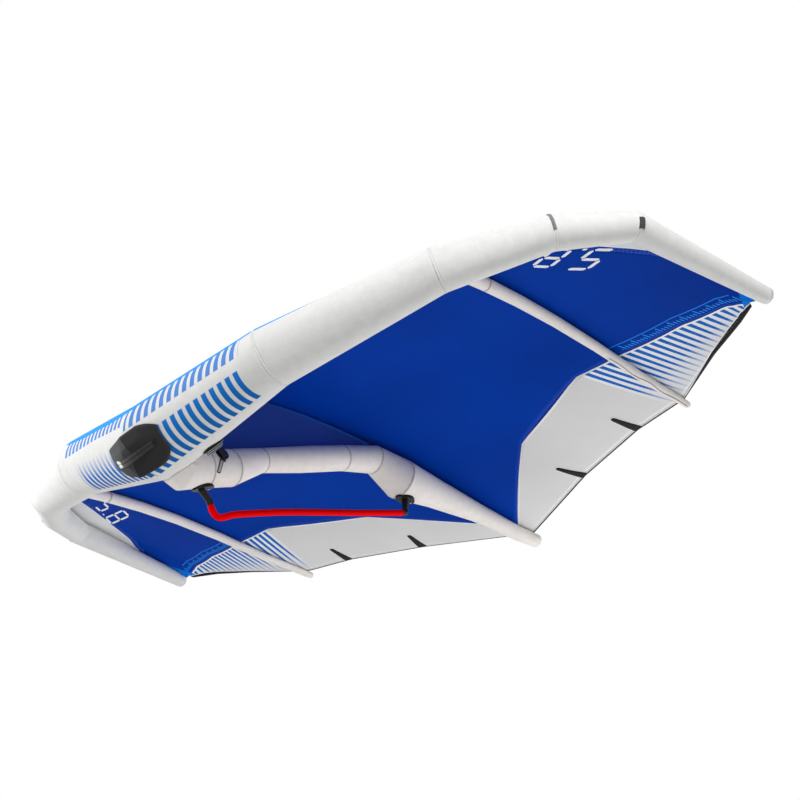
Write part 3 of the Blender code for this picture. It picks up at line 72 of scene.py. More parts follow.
# Camber: share of the half span, height as a share of the chord, and the powers of nose and tail
CAMBER = np.array([
    (0.0, 0.36, 0.75, 1.5), (0.269, 0.35, 0.94, 1.62), (0.534, 0.32, 1.12, 1.75),
    (0.651, 0.2175, 1.2, 1.8), (0.8485, 0.12, 1.2, 1.8), (1.0, 0.06, 1.2, 1.8),
])
# Seams, as share of the half span and share of the chord there
REAR_SEAM = np.array([
    (0.0, 0.95), (0.269, 0.7885), (0.534, 0.711), (0.651, 0.706),
    (0.8485, 0.773), (0.950, 0.834), (0.983, 0.845), (1.0, 0.97),
])
TIP_SEAM = np.array([
    (0.651, 0.0), (0.6976, 0.0), (0.7475, 0.09), (0.8485, 0.244),
    (0.897, 0.309), (0.950, 0.406), (0.9665, 0.317), (0.983, 0.087), (0.988, 0.0), (1.0, 0.0),
])
# Centre strut: y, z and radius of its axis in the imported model's frame, and its lengths
CENTRE_STRUT = np.array([
    (-0.98541, 0.20734, 0.05964), (-0.86578, 0.16444, 0.07242), (-0.76977, 0.19075, 0.07100),
    (-0.64296, 0.22021, 0.07001), (-0.48323, 0.28542, 0.04743), (-0.27624, 0.33533, 0.05218),
    (-0.04583, 0.39281, 0.05183), (0.13837, 0.42732, 0.05751), (0.28523, 0.37123, 0.08499),
    (0.48146, 0.35001, 0.06319), (0.74141, 0.31433, 0.04182), (1.00621, 0.26624, 0.03259),
    (1.14020, 0.25253, 0.02911),
])
CENTRE_STRUT_PIECES = {
    "center_strut_root": (0, 2), "center_strut_bulge": (2, 3), "center_strut_cone": (3, 4),
    "center_strut_neck": (4, 6), "center_strut_elbow": (6, 7), "center_strut_knee": (7, 8),
    "center_strut_tail": (8, 12),
}
# Side strut: y, z and radius of its axis, and its lengths
SIDE_STRUT = np.array([
    (-0.65977, 0.53404, 0.02550), (-0.48716, 0.55995, 0.02550), (-0.37209, 0.55718, 0.02442),
    (-0.19948, 0.54623, 0.02281), (0.00189, 0.52378, 0.02093), (0.23204, 0.48644, 0.01877),
    (0.49095, 0.43524, 0.01635), (0.79589, 0.38862, 0.01350),
])
SIDE_STRUT_PIECES = {"side_strut_front": (0, 2), "side_strut_main": (2, 7)}
# Boom under the centre strut, from the front arm to the rear arm: y and z
BOOM = np.array([
    (-0.74424, 0.05307), (-0.74199, 0.04500), (-0.73854, 0.03514), (-0.73432, 0.02733),
    (-0.72905, 0.02080), (-0.72248, 0.01605), (-0.71491, 0.01315), (-0.70653, 0.01250),
    (-0.69740, 0.01363), (-0.68748, 0.01646), (-0.67735, 0.02032), (-0.66650, 0.02516),
    (-0.65815, 0.02917), (-0.64618, 0.03380), (-0.60920, 0.04422), (-0.51932, 0.06584),
    (-0.40917, 0.09059), (-0.30505, 0.11102), (-0.19817, 0.13074), (-0.08965, 0.15055),
    (0.02380, 0.17137), (0.16290, 0.19805), (0.27426, 0.21965),
])
GRIP_RADIUS = 0.0125
# Battens: front and rear end as x and y
BATTENS = {
    "batten_inner": ((0.2577 * HALF_SPAN, 0.836 * CHORD), (0.2785 * HALF_SPAN, 0.891 * CHORD)),
    "batten_outer": ((0.487 * HALF_SPAN, 0.783 * CHORD), (0.5005 * HALF_SPAN, 0.841 * CHORD)),
}
# Front handle's pad: for each place, as a share of its length each way, its height, and its reach up and
# down round the tube; and for each angle, as a share of that reach, its height
PAD_LEFT, PAD_RIGHT, PAD_ANGLE, PAD_HALF_ANGLE, PAD_THICKNESS = 0.100, 0.147, -142.0, 35.0, 0.020
PAD_OUTLINE = np.array([
    (-1.0, 0.42, 0.600, 0.143), (-0.94, 0.50, 0.643, 0.314), (-0.75, 0.72, 0.700, 0.600),
    (-0.55, 0.93, 0.757, 0.700), (-0.45, 1.0, 0.786, 0.743), (0.0, 1.0, 0.943, 0.886),
    (0.45, 1.0, 0.971, 0.986), (0.55, 0.93, 0.929, 1.0), (0.75, 0.72, 0.800, 0.943),
    (0.94, 0.50, 0.600, 0.686), (1.0, 0.42, 0.514, 0.514),
])
PAD_ROWS = np.array([
    (-1.0, 0.35), (-0.88, 0.824), (-0.4, 1.0), (0.0, 1.0), (0.4, 1.0), (0.88, 0.9), (1.0, 0.35),
])
STRAP_ENDS, STRAP_WIDTH, STRAP_THICKNESS = (-0.044, 0.116), 0.025, 0.003
STRAP_ARCH, STRAP_ANGLE = 0.037, -141.0
KEEPER_LENGTH = 0.011

# Valves: point on the skin and direction out of it
LE_VALVE = (np.array([0.1731, -0.86402, 0.19029]), np.array([0.06091, 0.66331, -0.74586]))
STRUT_VALVE = (np.array([0.064, -0.728, 0.2311]), np.array([0.90631, -0.09563, 0.41166]))

# Prints, in metres, with angles in degrees
PRINT_EDGE = 0.0008  # half the width of an ink's soft edge
DEEP_BLUE = "003AA6"
# Printed rings of the leading edge: spacing, the share of it that is printed, and phase in spacings.
# Their blocks: left and right end, lowest and highest angle. 0 is the rear, 90 the top and 180 the front
RING_SPACING, RING_SHARE, RING_START = 0.0333, 0.58, 100.04
RING_BLOCKS = ((0.016, 0.488, 202.0, 266.0), (0.008, 0.50, 92.0, 181.0), (-0.42, 0.016, 194.0, 261.0))
# Rule ahead of the rear seam: the line's two edges, and the ticks' spacing, foot and tops
RULE_LINE, TICK_SPACING, TICK_FOOT, TICK_TOPS = (0.052, 0.056), 0.0125, 0.012, (0.030, 0.045)
# Corner patch: direction that its slanted edge faces, and the edge's distance from the middle
PATCH_DIRECTION, PATCH_START = (0.9268, 0.3757), 1.6545
# Folded cloth: its edge's distance from the trailing edge, and the batten pockets' ends along the span
FOLD_EDGE, POCKET_ENDS = 0.0095, ((0.4535, 0.4945), (0.8255, 0.8645))


def unit(v):
    """Vectors of the same directions, 1 long."""
    return v / np.linalg.norm(v, axis=-1, keepdims=True)


# Materials

def paint(value):
    """Linear colour of an sRGB hex value."""
    parts = np.array([int(value[k:k + 2], 16) for k in (0, 2, 4)]) / 255.0
    linear = np.where(parts <= 0.04045, parts / 12.92, ((parts + 0.055) / 1.055) ** 2.4)
    return (*linear.tolist(), 1.0)


def node(mat, kind, *values, out=0, **settings):
    """Adds a shader node with its settings. Values and links fill its inputs in order, or by number or name
    where they come as a dict. Gives one of its outputs, or all of them where out is None."""
    made = mat.node_tree.nodes.new("ShaderNode" + kind)
    for key, setting in settings.items():
        setattr(made, key, setting)
    inputs = values[0] if values and isinstance(values[0], dict) else dict(enumerate(values))
    for key, value in inputs.items():
        if isinstance(value, bpy.types.NodeSocket):
            mat.node_tree.links.new(value, made.inputs[key])
        else:
            made.inputs[key].default_value = value
    return made.outputs if out is None else made.outputs[out]


def finish(name, colour, roughness, **sockets):
    """New material with its shader. Every other socket is given by its name."""
    mat = bpy.data.materials.new(name)
    mat.use_nodes = True
    shader = mat.node_tree.nodes["Principled BSDF"].inputs
    shader["Base Color"].default_value = paint(colour)
    shader["Roughness"].default_value = roughness
    for key, value in sockets.items():
        shader[key.replace("_", " ")].default_value = value
    return mat, shader


def surface(mat, shader, base, height, distance, strength):
    """Links a colour to the shader, where there is one, and a relief that rises by height times distance."""
    if base is not None:
        mat.node_tree.links.new(base, shader["Base Color"])
    relief = node(mat, "Bump", {"Height": height, "Distance": distance, "Strength": strength})
    mat.node_tree.links.new(relief, shader["Normal"])
    return mat


def cloth_map(mat):
    """Metres along and across a piece, from its own map."""
    return node(mat, "SeparateXYZ", node(mat, "UVMap", uv_map="cloth"), out=None)


def place(mat):
    """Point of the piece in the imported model's frame."""
    return node(mat, "SeparateXYZ", node(mat, "TexCoord", out="Object"), out=None)


def within(mat, *ranges):
    """1 where every value lies between its two limits and 0 elsewhere: the product of a rise and a fall for
    each. A range is a value, its limits and half the width of their soft edge, or else PRINT_EDGE."""
    share = None
    for value, low, high, *given in ranges:
        edge = given[0] if given else PRINT_EDGE
        rise = node(mat, "MapRange", value, low - edge, low + edge)
        fall = node(mat, "MapRange", value, high - edge, high + edge, 1.0, 0.0)
        inside = node(mat, "Math", rise, fall, operation="MULTIPLY")
        share = inside if share is None else node(mat, "Math", share, inside, operation="MULTIPLY")
    return share


def inked(mat, base, *inks):
    """Colour of a base under inks, each a share from 0 to 1 and a hex value or another colour's link."""
    for share, ink in inks:
        colour = paint(ink) if isinstance(ink, str) else ink
        base = node(mat, "Mix", {0: share, 6: base, 7: colour}, out=2, data_type="RGBA")
    return base


def woven(mat, thread, grid, weave):
    """Height of a plain weave: a wave as long as two threads each way, the two multiplied and times weave,
    with raised lines every grid metres each way on top. Gives the height, and the lines alone."""
    waves, lines = [], []
    for along in cloth_map(mat)[:2]:
        turn = node(mat, "Math", along, math.pi / thread, operation="MULTIPLY")
        waves.append(node(mat, "Math", turn, operation="SINE"))
        phase = node(mat, "Math", node(mat, "Math", along, grid, operation="DIVIDE"), operation="FRACT")
        lines.append(node(mat, "Math", phase, thread * 0.6 / grid, operation="LESS_THAN"))
    wave = node(mat, "Math", *waves, operation="MULTIPLY")
    line = node(mat, "Math", *lines, operation="MAXIMUM")
    return node(mat, "Math", wave, weave, line, operation="MULTIPLY_ADD"), line


def tube_finish(name, colour, shade, prints=None):
    """Woven polyester tube cloth, calendered: matt and smooth, with a fine square weave and soft ripples
    where the air pulls it. Its threads are 0.5 mm apart, and are drawn 3 mm apart so that they show."""
    mat, shader = finish(name, colour, 0.65, Specular_IOR_Level=0.10)
    height, lines = woven(mat, 0.003, 0.024, 0.4)
    spot = node(mat, "TexCoord", out="Object")
    ripple = node(mat, "TexNoise", {0: spot, "Scale": 9.0, "Detail": 3.0})
    cloud = node(mat, "TexNoise", {0: spot, "Scale": 30.0, "Detail": 4.0, "Roughness": 0.6})
    thread = node(mat, "Math", lines, 0.35, operation="MULTIPLY")
    base = inked(mat, paint(colour), (node(mat, "MapRange", cloud, 0.35, 0.75), shade), (thread, shade))
    if prints:
        base = prints(mat, base)
    rise = node(mat, "Math", height, 0.02, ripple, operation="MULTIPLY_ADD")
    return surface(mat, shader, base, rise, 0.004, 0.5)


def leading_edge_print(mat, base):
    """Printed rings round the middle lengths, in blocks that lie between two places along the span and two
    angles round the tube. The lower left block fades out upwards, and the upper left one ends lower towards
    its left. The light blue cloth of the top covers them, down to an angle that changes along the span."""
    x = place(mat)[0]
    angle = node(mat, "Attribute", attribute_name="angle", out="Fac")
    turns = node(mat, "Math", x, RING_SPACING, operation="DIVIDE")
    turns = node(mat, "Math", turns, RING_START, operation="ADD")
    rings = within(mat, (node(mat, "Math", turns, operation="FRACT"), 0.0, RING_SHARE, 0.03))
    lower_right, upper_right, lower_left = [
        within(mat, (x, left, right), (angle, low, high, 0.6)) for left, right, low, high in RING_BLOCKS]
    longest = node(mat, "MapRange", x, -0.50, -0.25, 178.0, 171.0)
    above = node(mat, "Math", angle, 92.0, operation="GREATER_THAN")
    below = node(mat, "Math", angle, longest, operation="LESS_THAN")
    level = node(mat, "Math", above, below, operation="MULTIPLY")
    upper_left = node(mat, "Math", within(mat, (x, -0.50, -0.008)), level, operation="MULTIPLY")
    upper = node(mat, "Math", upper_right, upper_left, operation="MAXIMUM")
    upper = node(mat, "Math", upper, 0.9, operation="MULTIPLY")
    faded = node(mat, "Math", lower_left, node(mat, "MapRange", angle, 196.0, 229.0), operation="MULTIPLY")
    lower = node(mat, "Math", lower_right, faded, operation="MAXIMUM")
    blocks = node(mat, "Math", upper, lower, operation="MAXIMUM")
    ink = inked(mat, paint("1876CE"), (node(mat, "MapRange", angle, 202.0, 266.0), "0060AE"))
    above_edge = node(mat, "Attribute", attribute_name="top_band", out="Fac")
    return inked(mat, base, (node(mat, "Math", rings, blocks, operation="MULTIPLY"), ink),
                 (node(mat, "MapRange", above_edge, -PRINT_EDGE, PRINT_EDGE), "1E96F4"))


def canopy_finish(name, colour, shade, prints=None):
    """Ripstop polyester, woven and coated: taut and a little shiny, with a square grid of thicker threads.
    The grid is 5 mm on the real cloth, and is drawn at 16 mm so that it shows."""
    mat, shader = finish(name, colour, 0.55, Specular_IOR_Level=0.02)
    height, lines = woven(mat, 0.0025, 0.016, 0.25)
    spot = node(mat, "TexCoord", out="Object")
    cloud = node(mat, "TexNoise", {0: spot, "Scale": 2.2, "Detail": 3.0})
    base = inked(mat, paint(colour), (node(mat, "MapRange", cloud, 0.35, 0.7), shade))
    if prints:
        base = prints(mat, base)
    base = inked(mat, base, (node(mat, "Math", lines, 0.12, operation="MULTIPLY"), shade))
    ripple = node(mat, "TexNoise", {0: spot, "Scale": 14.0})
    rise = node(mat, "Math", height, 0.012, ripple, operation="MULTIPLY_ADD")
    return surface(mat, shader, base, rise, 0.003, 0.4)


def outer_print(mat, base):
    """Light blue line ahead of the rear seam, with a row of plain slanted ticks behind it, every fourth one
    long, and a bright patch at the corner."""
    x, y = place(mat)[:2]
    span = node(mat, "Math", x, operation="ABSOLUTE")
    from_seam = node(mat, "Attribute", attribute_name="from_seam", out="Fac")
    ahead = node(mat, "Math", from_seam, -1.0, operation="MULTIPLY")
    line = within(mat, (ahead, *RULE_LINE), (span, 1.10, 1.58))
    slant = node(mat, "Math", ahead, 0.35, span, operation="MULTIPLY_ADD")
    rows = []
    for spacing, share, soft in ((TICK_SPACING, 0.42, 0.05), (4.0 * TICK_SPACING, 0.25, 0.01)):
        phase = node(mat, "Math", node(mat, "Math", slant, spacing, operation="DIVIDE"), operation="FRACT")
        rows.append(within(mat, (phase, 0.0, share, soft)))
    ticks, long = rows
    top = node(mat, "MapRange", long, 0.0, 1.0, *TICK_TOPS)
    above = node(mat, "Math", ahead, TICK_FOOT, operation="GREATER_THAN")
    below = node(mat, "Math", ahead, top, operation="LESS_THAN")
    level = node(mat, "Math", above, below, operation="MULTIPLY")
    marks = node(mat, "Math", ticks, level, operation="MULTIPLY")
    marks = node(mat, "Math", marks, within(mat, (span, 1.135, 1.61)), operation="MULTIPLY")
    base = inked(mat, base, (node(mat, "Math", line, marks, operation="MAXIMUM"), "2E92FA"))
    return corner_patch(mat, base, span, y)


def corner_patch(mat, base, span, y):
    """Bright blue reinforcement in the canopy's outer rear corner, past a slanted line."""
    across, back = PATCH_DIRECTION
    reach = node(mat, "Math", span, across, operation="MULTIPLY")
    reach = node(mat, "Math", reach, node(mat, "Math", y, back, operation="MULTIPLY"), operation="ADD")
    return inked(mat, base, (node(mat, "MapRange", reach, PATCH_START, PATCH_START + 0.002), "0078E8"))


def tip_print(mat, base):
    """The blue panel's cloth laps over the tip panel's rear edge, with a white seam along it."""
    lap = node(mat, "Attribute", attribute_name="from_tip_seam", out="Fac")
    return inked(mat, base, (node(mat, "MapRange", lap, -0.0445, -0.0430), "F2F4F6"),
                 (node(mat, "MapRange", lap, -0.0385, -0.0375), DEEP_BLUE))


def rear_print(lean, first, spacing, outer):
    """Blue bars that run from the seam towards the trailing edge, lean outwards, and taper away. The blue
    panel's cloth laps over the seam: 12.5 mm * (1 - r^2) along its slanted run, where r goes from -1 to 1,
    and 8 mm more further out. On the outer panel a black reinforcement runs along the trailing edge."""
    def prints(mat, base):
        x, y = place(mat)[:2]
        span = node(mat, "Math", x, operation="ABSOLUTE")
        leant = node(mat, "Math", y, lean, operation="MULTIPLY")
        across = node(mat, "Math", span, leant, operation="SUBTRACT")
        phase = node(mat, "Math", across, first, operation="SUBTRACT")
        phase = node(mat, "Math", node(mat, "Math", phase, spacing, operation="DIVIDE"), operation="FRACT")
        tail = node(mat, "Attribute", attribute_name="to_tail", out="Fac")
        run = node(mat, "MapRange", span, 0.4535, 0.9003, -1.0, 1.0)
        squared = node(mat, "Math", run, run, operation="MULTIPLY")
        bow = node(mat, "Math", squared, -0.0125, 0.0125, operation="MULTIPLY_ADD")
        lap = node(mat, "Math", bow, node(mat, "MapRange", span, 0.92, 1.04, 0.0, 0.008), operation="ADD")
        from_seam = node(mat, "Attribute", attribute_name="from_seam", out="Fac")
        seam = node(mat, "Math", from_seam, lap, operation="SUBTRACT")
        middle = node(mat, "Math", node(mat, "Math", phase, 0.5, operation="SUBTRACT"), operation="ABSOLUTE")
        half = node(mat, "MapRange", tail, 0.0, 0.95, 0.29, 0.12)
        bars = node(mat, "Math", middle, half, operation="LESS_THAN")
        fade = node(mat, "MapRange", tail, 0.55, 1.0, 1.0, 0.0)
        for limit in (fade, node(mat, "Math", across, first, operation="GREATER_THAN"),
                      node(mat, "Math", seam, 0.009, operation="GREATER_THAN")):
            bars = node(mat, "Math", bars, limit, operation="MULTIPLY")
        printed = node(mat, "Math", across, first - spacing * 0.2, operation="GREATER_THAN")
        pale = node(mat, "MapRange", tail, 0.2, 1.0, 1.0, 0.0)
        white = node(mat, "Math", pale, printed, operation="MULTIPLY")
        lapped = node(mat, "Math", seam, 0.0, operation="LESS_THAN")
        base = inked(mat, base, (white, "F0F3F8"), (within(mat, (seam, -1.0, 0.010)), "FCFCFC"),
                     (lapped, DEEP_BLUE), (bars, "0866C4"))
        return black_edge(mat, corner_patch(mat, base, span, y), span) if outer else base
    return prints


def black_edge(mat, base, span):
    """Black reinforcement along the outer trailing edge with a white line beside it. It widens from 6 mm at
    the side strut to 31 mm, and narrows again towards the corner."""
    wide = node(mat, "MapRange", span, 1.14, 1.47, 0.006, 0.031)
    narrow = node(mat, "MapRange", span, 1.55, 1.65, 0.031, 0.009)
    width = node(mat, "Math", wide, narrow, operation="MINIMUM")
    from_tail = node(mat, "Attribute", attribute_name="from_tail", out="Fac")
    edge = node(mat, "Math", width, from_tail, operation="SUBTRACT")
    return inked(mat, base, (node(mat, "MapRange", edge, -0.0052, -0.0044), "F6F6F6"),
                 (node(mat, "MapRange", edge, -0.0006, 0.0006), "141415"))


def web_print(mat, base):
    """Bright seam line along the web's upper edge."""
    return inked(mat, base, (node(mat, "Attribute", attribute_name="upper_edge", out="Fac"), "1A7CE8"))


def webbing_finish(name, colour, shade, rib, prints=None):
    """Woven polyester webbing: dull, with ribs across it, rib metres apart."""
    mat, shader = finish(name, colour, 0.85, Specular_IOR_Level=0.2, Sheen_Weight=0.05)
    turn = node(mat, "Math", cloth_map(mat)[0], 2.0 * math.pi / rib, operation="MULTIPLY")
    ribs = node(mat, "Math", turn, operation="SINE")
    base = inked(mat, paint(colour), (node(mat, "MapRange", ribs, -1.0, 1.0), shade))
    if prints:
        base = prints(mat, base)
    return surface(mat, shader, base, ribs, 0.0006, 0.6)


def outer_fold(mat, base):
    """The grey cloth folded over all of the webbing, black at the reinforcement."""
    x, y = place(mat)[:2]
    span = node(mat, "Math", x, operation="ABSOLUTE")
    return black_edge(mat, corner_patch(mat, paint("D8D8D8"), span, y), span)


def inner_fold(mat, base):
    """The grey cloth folded over the webbing's front part, but where a batten pocket's end is sewn in."""
    x = place(mat)[0]
    span = node(mat, "Math", x, operation="ABSOLUTE")
    from_tail = node(mat, "Attribute", attribute_name="from_tail", out="Fac")
    pockets = node(mat, "Math", *[within(mat, (span, *ends)) for ends in POCKET_ENDS], operation="MAXIMUM")
    open_cloth = node(mat, "Math", 1.0, pockets, operation="SUBTRACT")
    front = node(mat, "Math", from_tail, FOLD_EDGE, operation="GREATER_THAN")
    line = within(mat, (from_tail, FOLD_EDGE, FOLD_EDGE + 0.003, 0.0003))
    return inked(mat, base, (node(mat, "Math", front, open_cloth, operation="MULTIPLY"), "DEDEDE"),
                 (node(mat, "Math", line, open_cloth, operation="MULTIPLY"), "F6F6F6"))


def painted_strap_sheen(mat, base):
    """Painted sheen: the bands are painted paler towards their left ends, and white at those ends, as
    painted highlights.
    """
    x = place(mat)[0]
    # Painted highlight: paler grey towards the left ends, then white at them.
    return inked(mat, base, (node(mat, "MapRange", x, 0.085, -0.015, 0.0, 0.35), "8C8C8A"),
                 (node(mat, "MapRange", x, -0.020, -0.026), "F4F4F4"))


def moulded(name, colour, shade, roughness, grain, depth=0.0004, gloss=0.2):
    """Injection-moulded plastic: even colour and a fine spark-eroded grain, of so many specks a metre."""
    mat, shader = finish(name, colour, roughness, Specular_IOR_Level=gloss)
    specks = node(mat, "TexNoise", {0: node(mat, "TexCoord", out="Object"), "Scale": grain, "Detail": 4.0,
                                    "Roughness": 0.6})
    base = inked(mat, paint(colour), (node(mat, "MapRange", specks, 0.35, 0.7), shade))
    return surface(mat, shader, base, specks, depth, 0.5)


def metal(name, colour, roughness, metallic, grain):
    """Turned or drawn metal: even colour and a faint grain left by the tool, of so many marks a metre."""
    mat, shader = finish(name, colour, roughness, Metallic=metallic)
    marks = node(mat, "TexNoise", {0: node(mat, "TexCoord", out="Object"), "Scale": grain})
    return surface(mat, shader, None, marks, 0.0001, 0.4)


def pad_cover(name, colour):
    """Black neoprene over foam, with the nap of its knit, and a raised seam along x = 34 mm - 1.1 mm *
    |angle + 148|.
    Left of the seam the cover is painted lighter, as painted light where it faces the lamps more, and darker
    in one corner there, as painted shade."""
    mat, shader = finish(name, colour, 0.8, Specular_IOR_Level=0.15)
    x = place(mat)[0]
    turn = node(mat, "Attribute", attribute_name="round_tube", out="Fac")
    from_bend = node(mat, "Math", node(mat, "Math", turn, 148.0, operation="ADD"), operation="ABSOLUTE")
    border = node(mat, "Math", from_bend, -0.0011, 0.034, operation="MULTIPLY_ADD")
    left = node(mat, "Math", x, border, operation="LESS_THAN")
    slant = node(mat, "Math", x, 240.0, turn, operation="MULTIPLY_ADD")
    low = node(mat, "Math", slant, -152.0, operation="GREATER_THAN")
    nap = node(mat, "TexNoise", {0: node(mat, "TexCoord", out="Object"), "Scale": 340.0, "Detail": 3.0,
                                 "Roughness": 0.6})
    seam = within(mat, (node(mat, "Math", x, border, operation="SUBTRACT"), -0.0010, 0.0010, 0.0003))
    # Painted light: lighter left of the seam, with a darker corner there as painted shade; the seam line
    # itself is dark.
    base = inked(mat, paint(colour), (left, inked(mat, paint("505052"), (low, "444446"))),
                 (node(mat, "Math", seam, 0.8, operation="MULTIPLY"), "161617"))
    return surface(mat, shader, base, node(mat, "Math", nap, seam, operation="ADD"), 0.0007, 0.6)


def stitched_finish(name, colour, thread):
    """Folded seam tape of the tube cloth, with a line of stitches 9 mm apart down its middle."""
    mat, shader = finish(name, colour, 0.7)
    u, v = cloth_map(mat)[:2]
    phase = node(mat, "Math", node(mat, "Math", u, 0.009, operation="DIVIDE"), operation="FRACT")
    threaded = node(mat, "Math", phase, 0.6, operation="LESS_THAN")
    stitch = node(mat, "Math", threaded, within(mat, (v, 0.0035, 0.0065, 0.0004)), operation="MULTIPLY")
    base = inked(mat, paint(colour), (node(mat, "Math", stitch, 0.8, operation="MULTIPLY"), thread))
    return surface(mat, shader, base, stitch, 0.0006, 0.8)


def valve_rings(name, at, out, bands):
    """Moulded valve parts stacked along an axis: height = (point - at) . out, and each band of heights over
    the skin has its own colour."""
    mat, shader = finish(name, bands[0][1], 0.45, Specular_IOR_Level=0.2)
    height = -float(np.dot(at, out))
    for axis, coordinate in enumerate(place(mat)):
        height = node(mat, "Math", coordinate, out[axis], height, operation="MULTIPLY_ADD")
    base = inked(mat, paint(bands[0][1]), *[
        (node(mat, "Math", height, start, operation="GREATER_THAN"), colour) for start, colour in bands[1:]])
    grain = node(mat, "TexNoise", {0: node(mat, "TexCoord", out="Object"), "Scale": 260.0, "Detail": 4.0,
                                   "Roughness": 0.6})
    return surface(mat, shader, base, grain, 0.0004, 0.5)


LE_CLOTH = tube_finish("calendered_dacron_white", "E2E2E0", "DADAD8")
LE_PRINTED = tube_finish("printed_dacron_white", "E2E2E0", "DADAD8", leading_edge_print)
STRUT_CLOTH = tube_finish("calendered_dacron_warm_white", "F6F1EC", "EEE8E3")
LE_SEAM = stitched_finish("stitched_seam_white", "E0E0DE", "B4B4B2")
STRUT_SEAM = stitched_finish("stitched_seam_warm_white", "CFCAC4", "8F8B86")

BLUE_CLOTH = canopy_finish("ripstop_deep_blue", DEEP_BLUE, "003498")
OUTER_CLOTH = canopy_finish("ripstop_deep_blue_printed", DEEP_BLUE, "003498", outer_print)
REAR_CLOTH = canopy_finish("ripstop_grey_printed", "E0E0E0", "D9D9D9",
                           rear_print(0.313, 0.809, 0.0335, False))
STRIPED_CLOTH = canopy_finish("ripstop_white_striped", "E0E2E4", "D8DADC",
                              rear_print(0.25, 0.905, 0.0297, True))
TIP_CLOTH = canopy_finish("ripstop_white", "E6E7E8", "DEE0E2", tip_print)
WEB_CLOTH = canopy_finish("ripstop_navy", "3252AC", "2E4CA2", web_print)

EDGE_WEBBING = webbing_finish("woven_edge_webbing_black", "161617", "242425", 0.006, outer_fold)
NARROW_WEBBING = webbing_finish("woven_edge_webbing_narrow", "161617", "242425", 0.006, inner_fold)
# The strap's paler left part and white left ends are painted highlights.
STRAP_WEBBING = webbing_finish("woven_strap_webbing_black", "262626", "3A3A38", 0.004, painted_strap_sheen)
LANYARD_WEBBING = webbing_finish("woven_lanyard_webbing_pale", "BEBEBC", "AEAEAC", 0.004)
LANYARD_EDGE = webbing_finish("woven_lanyard_edge_black", "161617", "242425", 0.004)
# Darker grey strip along the upper edge of the side struts' flaps.
FLAP_DARK_STRIP = webbing_finish("flap_strip_dark_grey", "8E8883", "827C77", 0.004)
TAB_WEBBING = webbing_finish("woven_tab_webbing_grey", "77777A", "8C8C8E", 0.004)
DARK_TAB_WEBBING = webbing_finish("woven_tab_webbing_dark_grey", "3C3C3E", "565658", 0.004)

PAD_COVER = pad_cover("neoprene_cover_black", "2D2D2E")
BLACK_NYLON = moulded("moulded_nylon_black", "151516", "1F1F20", 0.45, 260.0)
RED_FOAM = moulded("moulded_eva_foam_red", "FF0000", "F40202", 0.8, 420.0, 0.0005, 0.03)
BATTEN_CLOTH = moulded("batten_pocket_black", "121213", "19191A", 0.8, 200.0)
POCKET_EDGE = moulded("stitched_pocket_edge_white", "F0F0F0", "E8E8E8", 0.7, 200.0)
WHITE_INK = moulded("screen_printed_white", "F4F6FA", "ECEEF4", 0.6, 120.0)
FILM = moulded("blown_polyurethane_film", "CFD6D6", "DDE2E2", 0.3, 60.0)
STEEL = metal("turned_stainless_steel", "B9BABC", 0.3, 1.0, 700.0)
BRIGHT_BAR = metal("nickel_plated_bar", "F6F6F6", 0.35, 0.4, 700.0)
BOOM_METAL = metal("anodised_aluminium_black", "18181A", 0.35, 1.0, 500.0)
LE_VALVE_RINGS = valve_rings("moulded_valve_rings", *LE_VALVE, (
    (0.0, "0C0C0D"), (0.0046, "C8C8C6"), (0.0068, "262628"), (0.0108, "C0C0BE"), (0.0132, "0E0E0F"),
    (0.0156, "9A9A9A")))
STRUT_VALVE_RINGS = valve_rings("moulded_valve_disc", *STRUT_VALVE, ((0.0, "0C0C0D"), (0.0085, "3A3A3E")))


# Pieces

BOTH_ENDS = ("first", "last")


def grid_mesh(name, points, closed=False, caps=(), measure=None, marks=()):
    """Mesh of quads over a grid of points (rows, columns, 3). closed joins the last column to the first,
    caps names the rows that are closed, measure is the piece's map in metres, and marks are values that are
    kept at its points."""
    rows, count = points.shape[:2]
    columns = count if closed else count - 1
    i, j = np.meshgrid(np.arange(rows - 1), np.arange(columns), indexing="ij")
    near, far, beside = i * count, (i + 1) * count, (j + 1) % count
    quads = np.stack([near + j, near + beside, far + beside, far + j], -1).reshape(-1, 4)
    faces = quads.tolist()
    if "first" in caps:
        faces.append(list(range(count))[::-1])
    if "last" in caps:
        faces.append(list(range((rows - 1) * count, rows * count)))
    mesh = bpy.data.meshes.new(name)
    mesh.from_pydata(points.reshape(-1, 3).tolist(), [], faces)
    if measure is not None:
        corners = np.stack([measure[i, j], measure[i, j + 1], measure[i + 1, j + 1], measure[i + 1, j]], 2)
        flat = np.zeros((len(mesh.loops), 2), np.float32)
        flat[:quads.size] = corners.reshape(-1, 2)
        mesh.uv_layers.new(name="cloth").data.foreach_set("uv", flat.ravel())
    for key, values in dict(marks).items():
        kept = mesh.attributes.new(key, "FLOAT", "POINT")
        kept.data.foreach_set("value", values.astype(np.float32).ravel())
    mesh.update()
    mesh.shade_smooth()
    return mesh


def outward(shell):
    """Turns a closed grid of rings round where its faces look inwards: the rings' turning sense, summed as
    (ring edge x ring centre line), must agree with the way the rings run."""
    centre = shell.mean(1, keepdims=True)
    area = np.cross(shell - centre, np.roll(shell, -1, axis=1) - centre).sum(1)
    run = np.gradient(centre[:, 0], axis=0)
    return shell if (area * run).sum() < 0.0 else shell[::-1]


def place_piece(name, mesh, mat, stands_for=(), crease=None):
    """Puts a mesh into the scene at the origin, on the wing, with edges over crease degrees sharp."""
    if crease:
        mesh.set_sharp_from_angle(angle=math.radians(crease))
    obj = bpy.data.objects.new(name, mesh)
    bpy.context.scene.collection.objects.link(obj)
    mesh.materials.append(mat)
    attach(obj, "wing")
    if stands_for:
        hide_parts(*stands_for)
    return obj


def thicken(obj, thickness, offset):
    """Gives a sheet its wall: offset -1 puts it inside the faces, 1 outside, and 0 half each way."""
    solid = obj.modifiers.new("wall", "SOLIDIFY")
    solid.thickness = thickness
    solid.offset = offset
    return obj


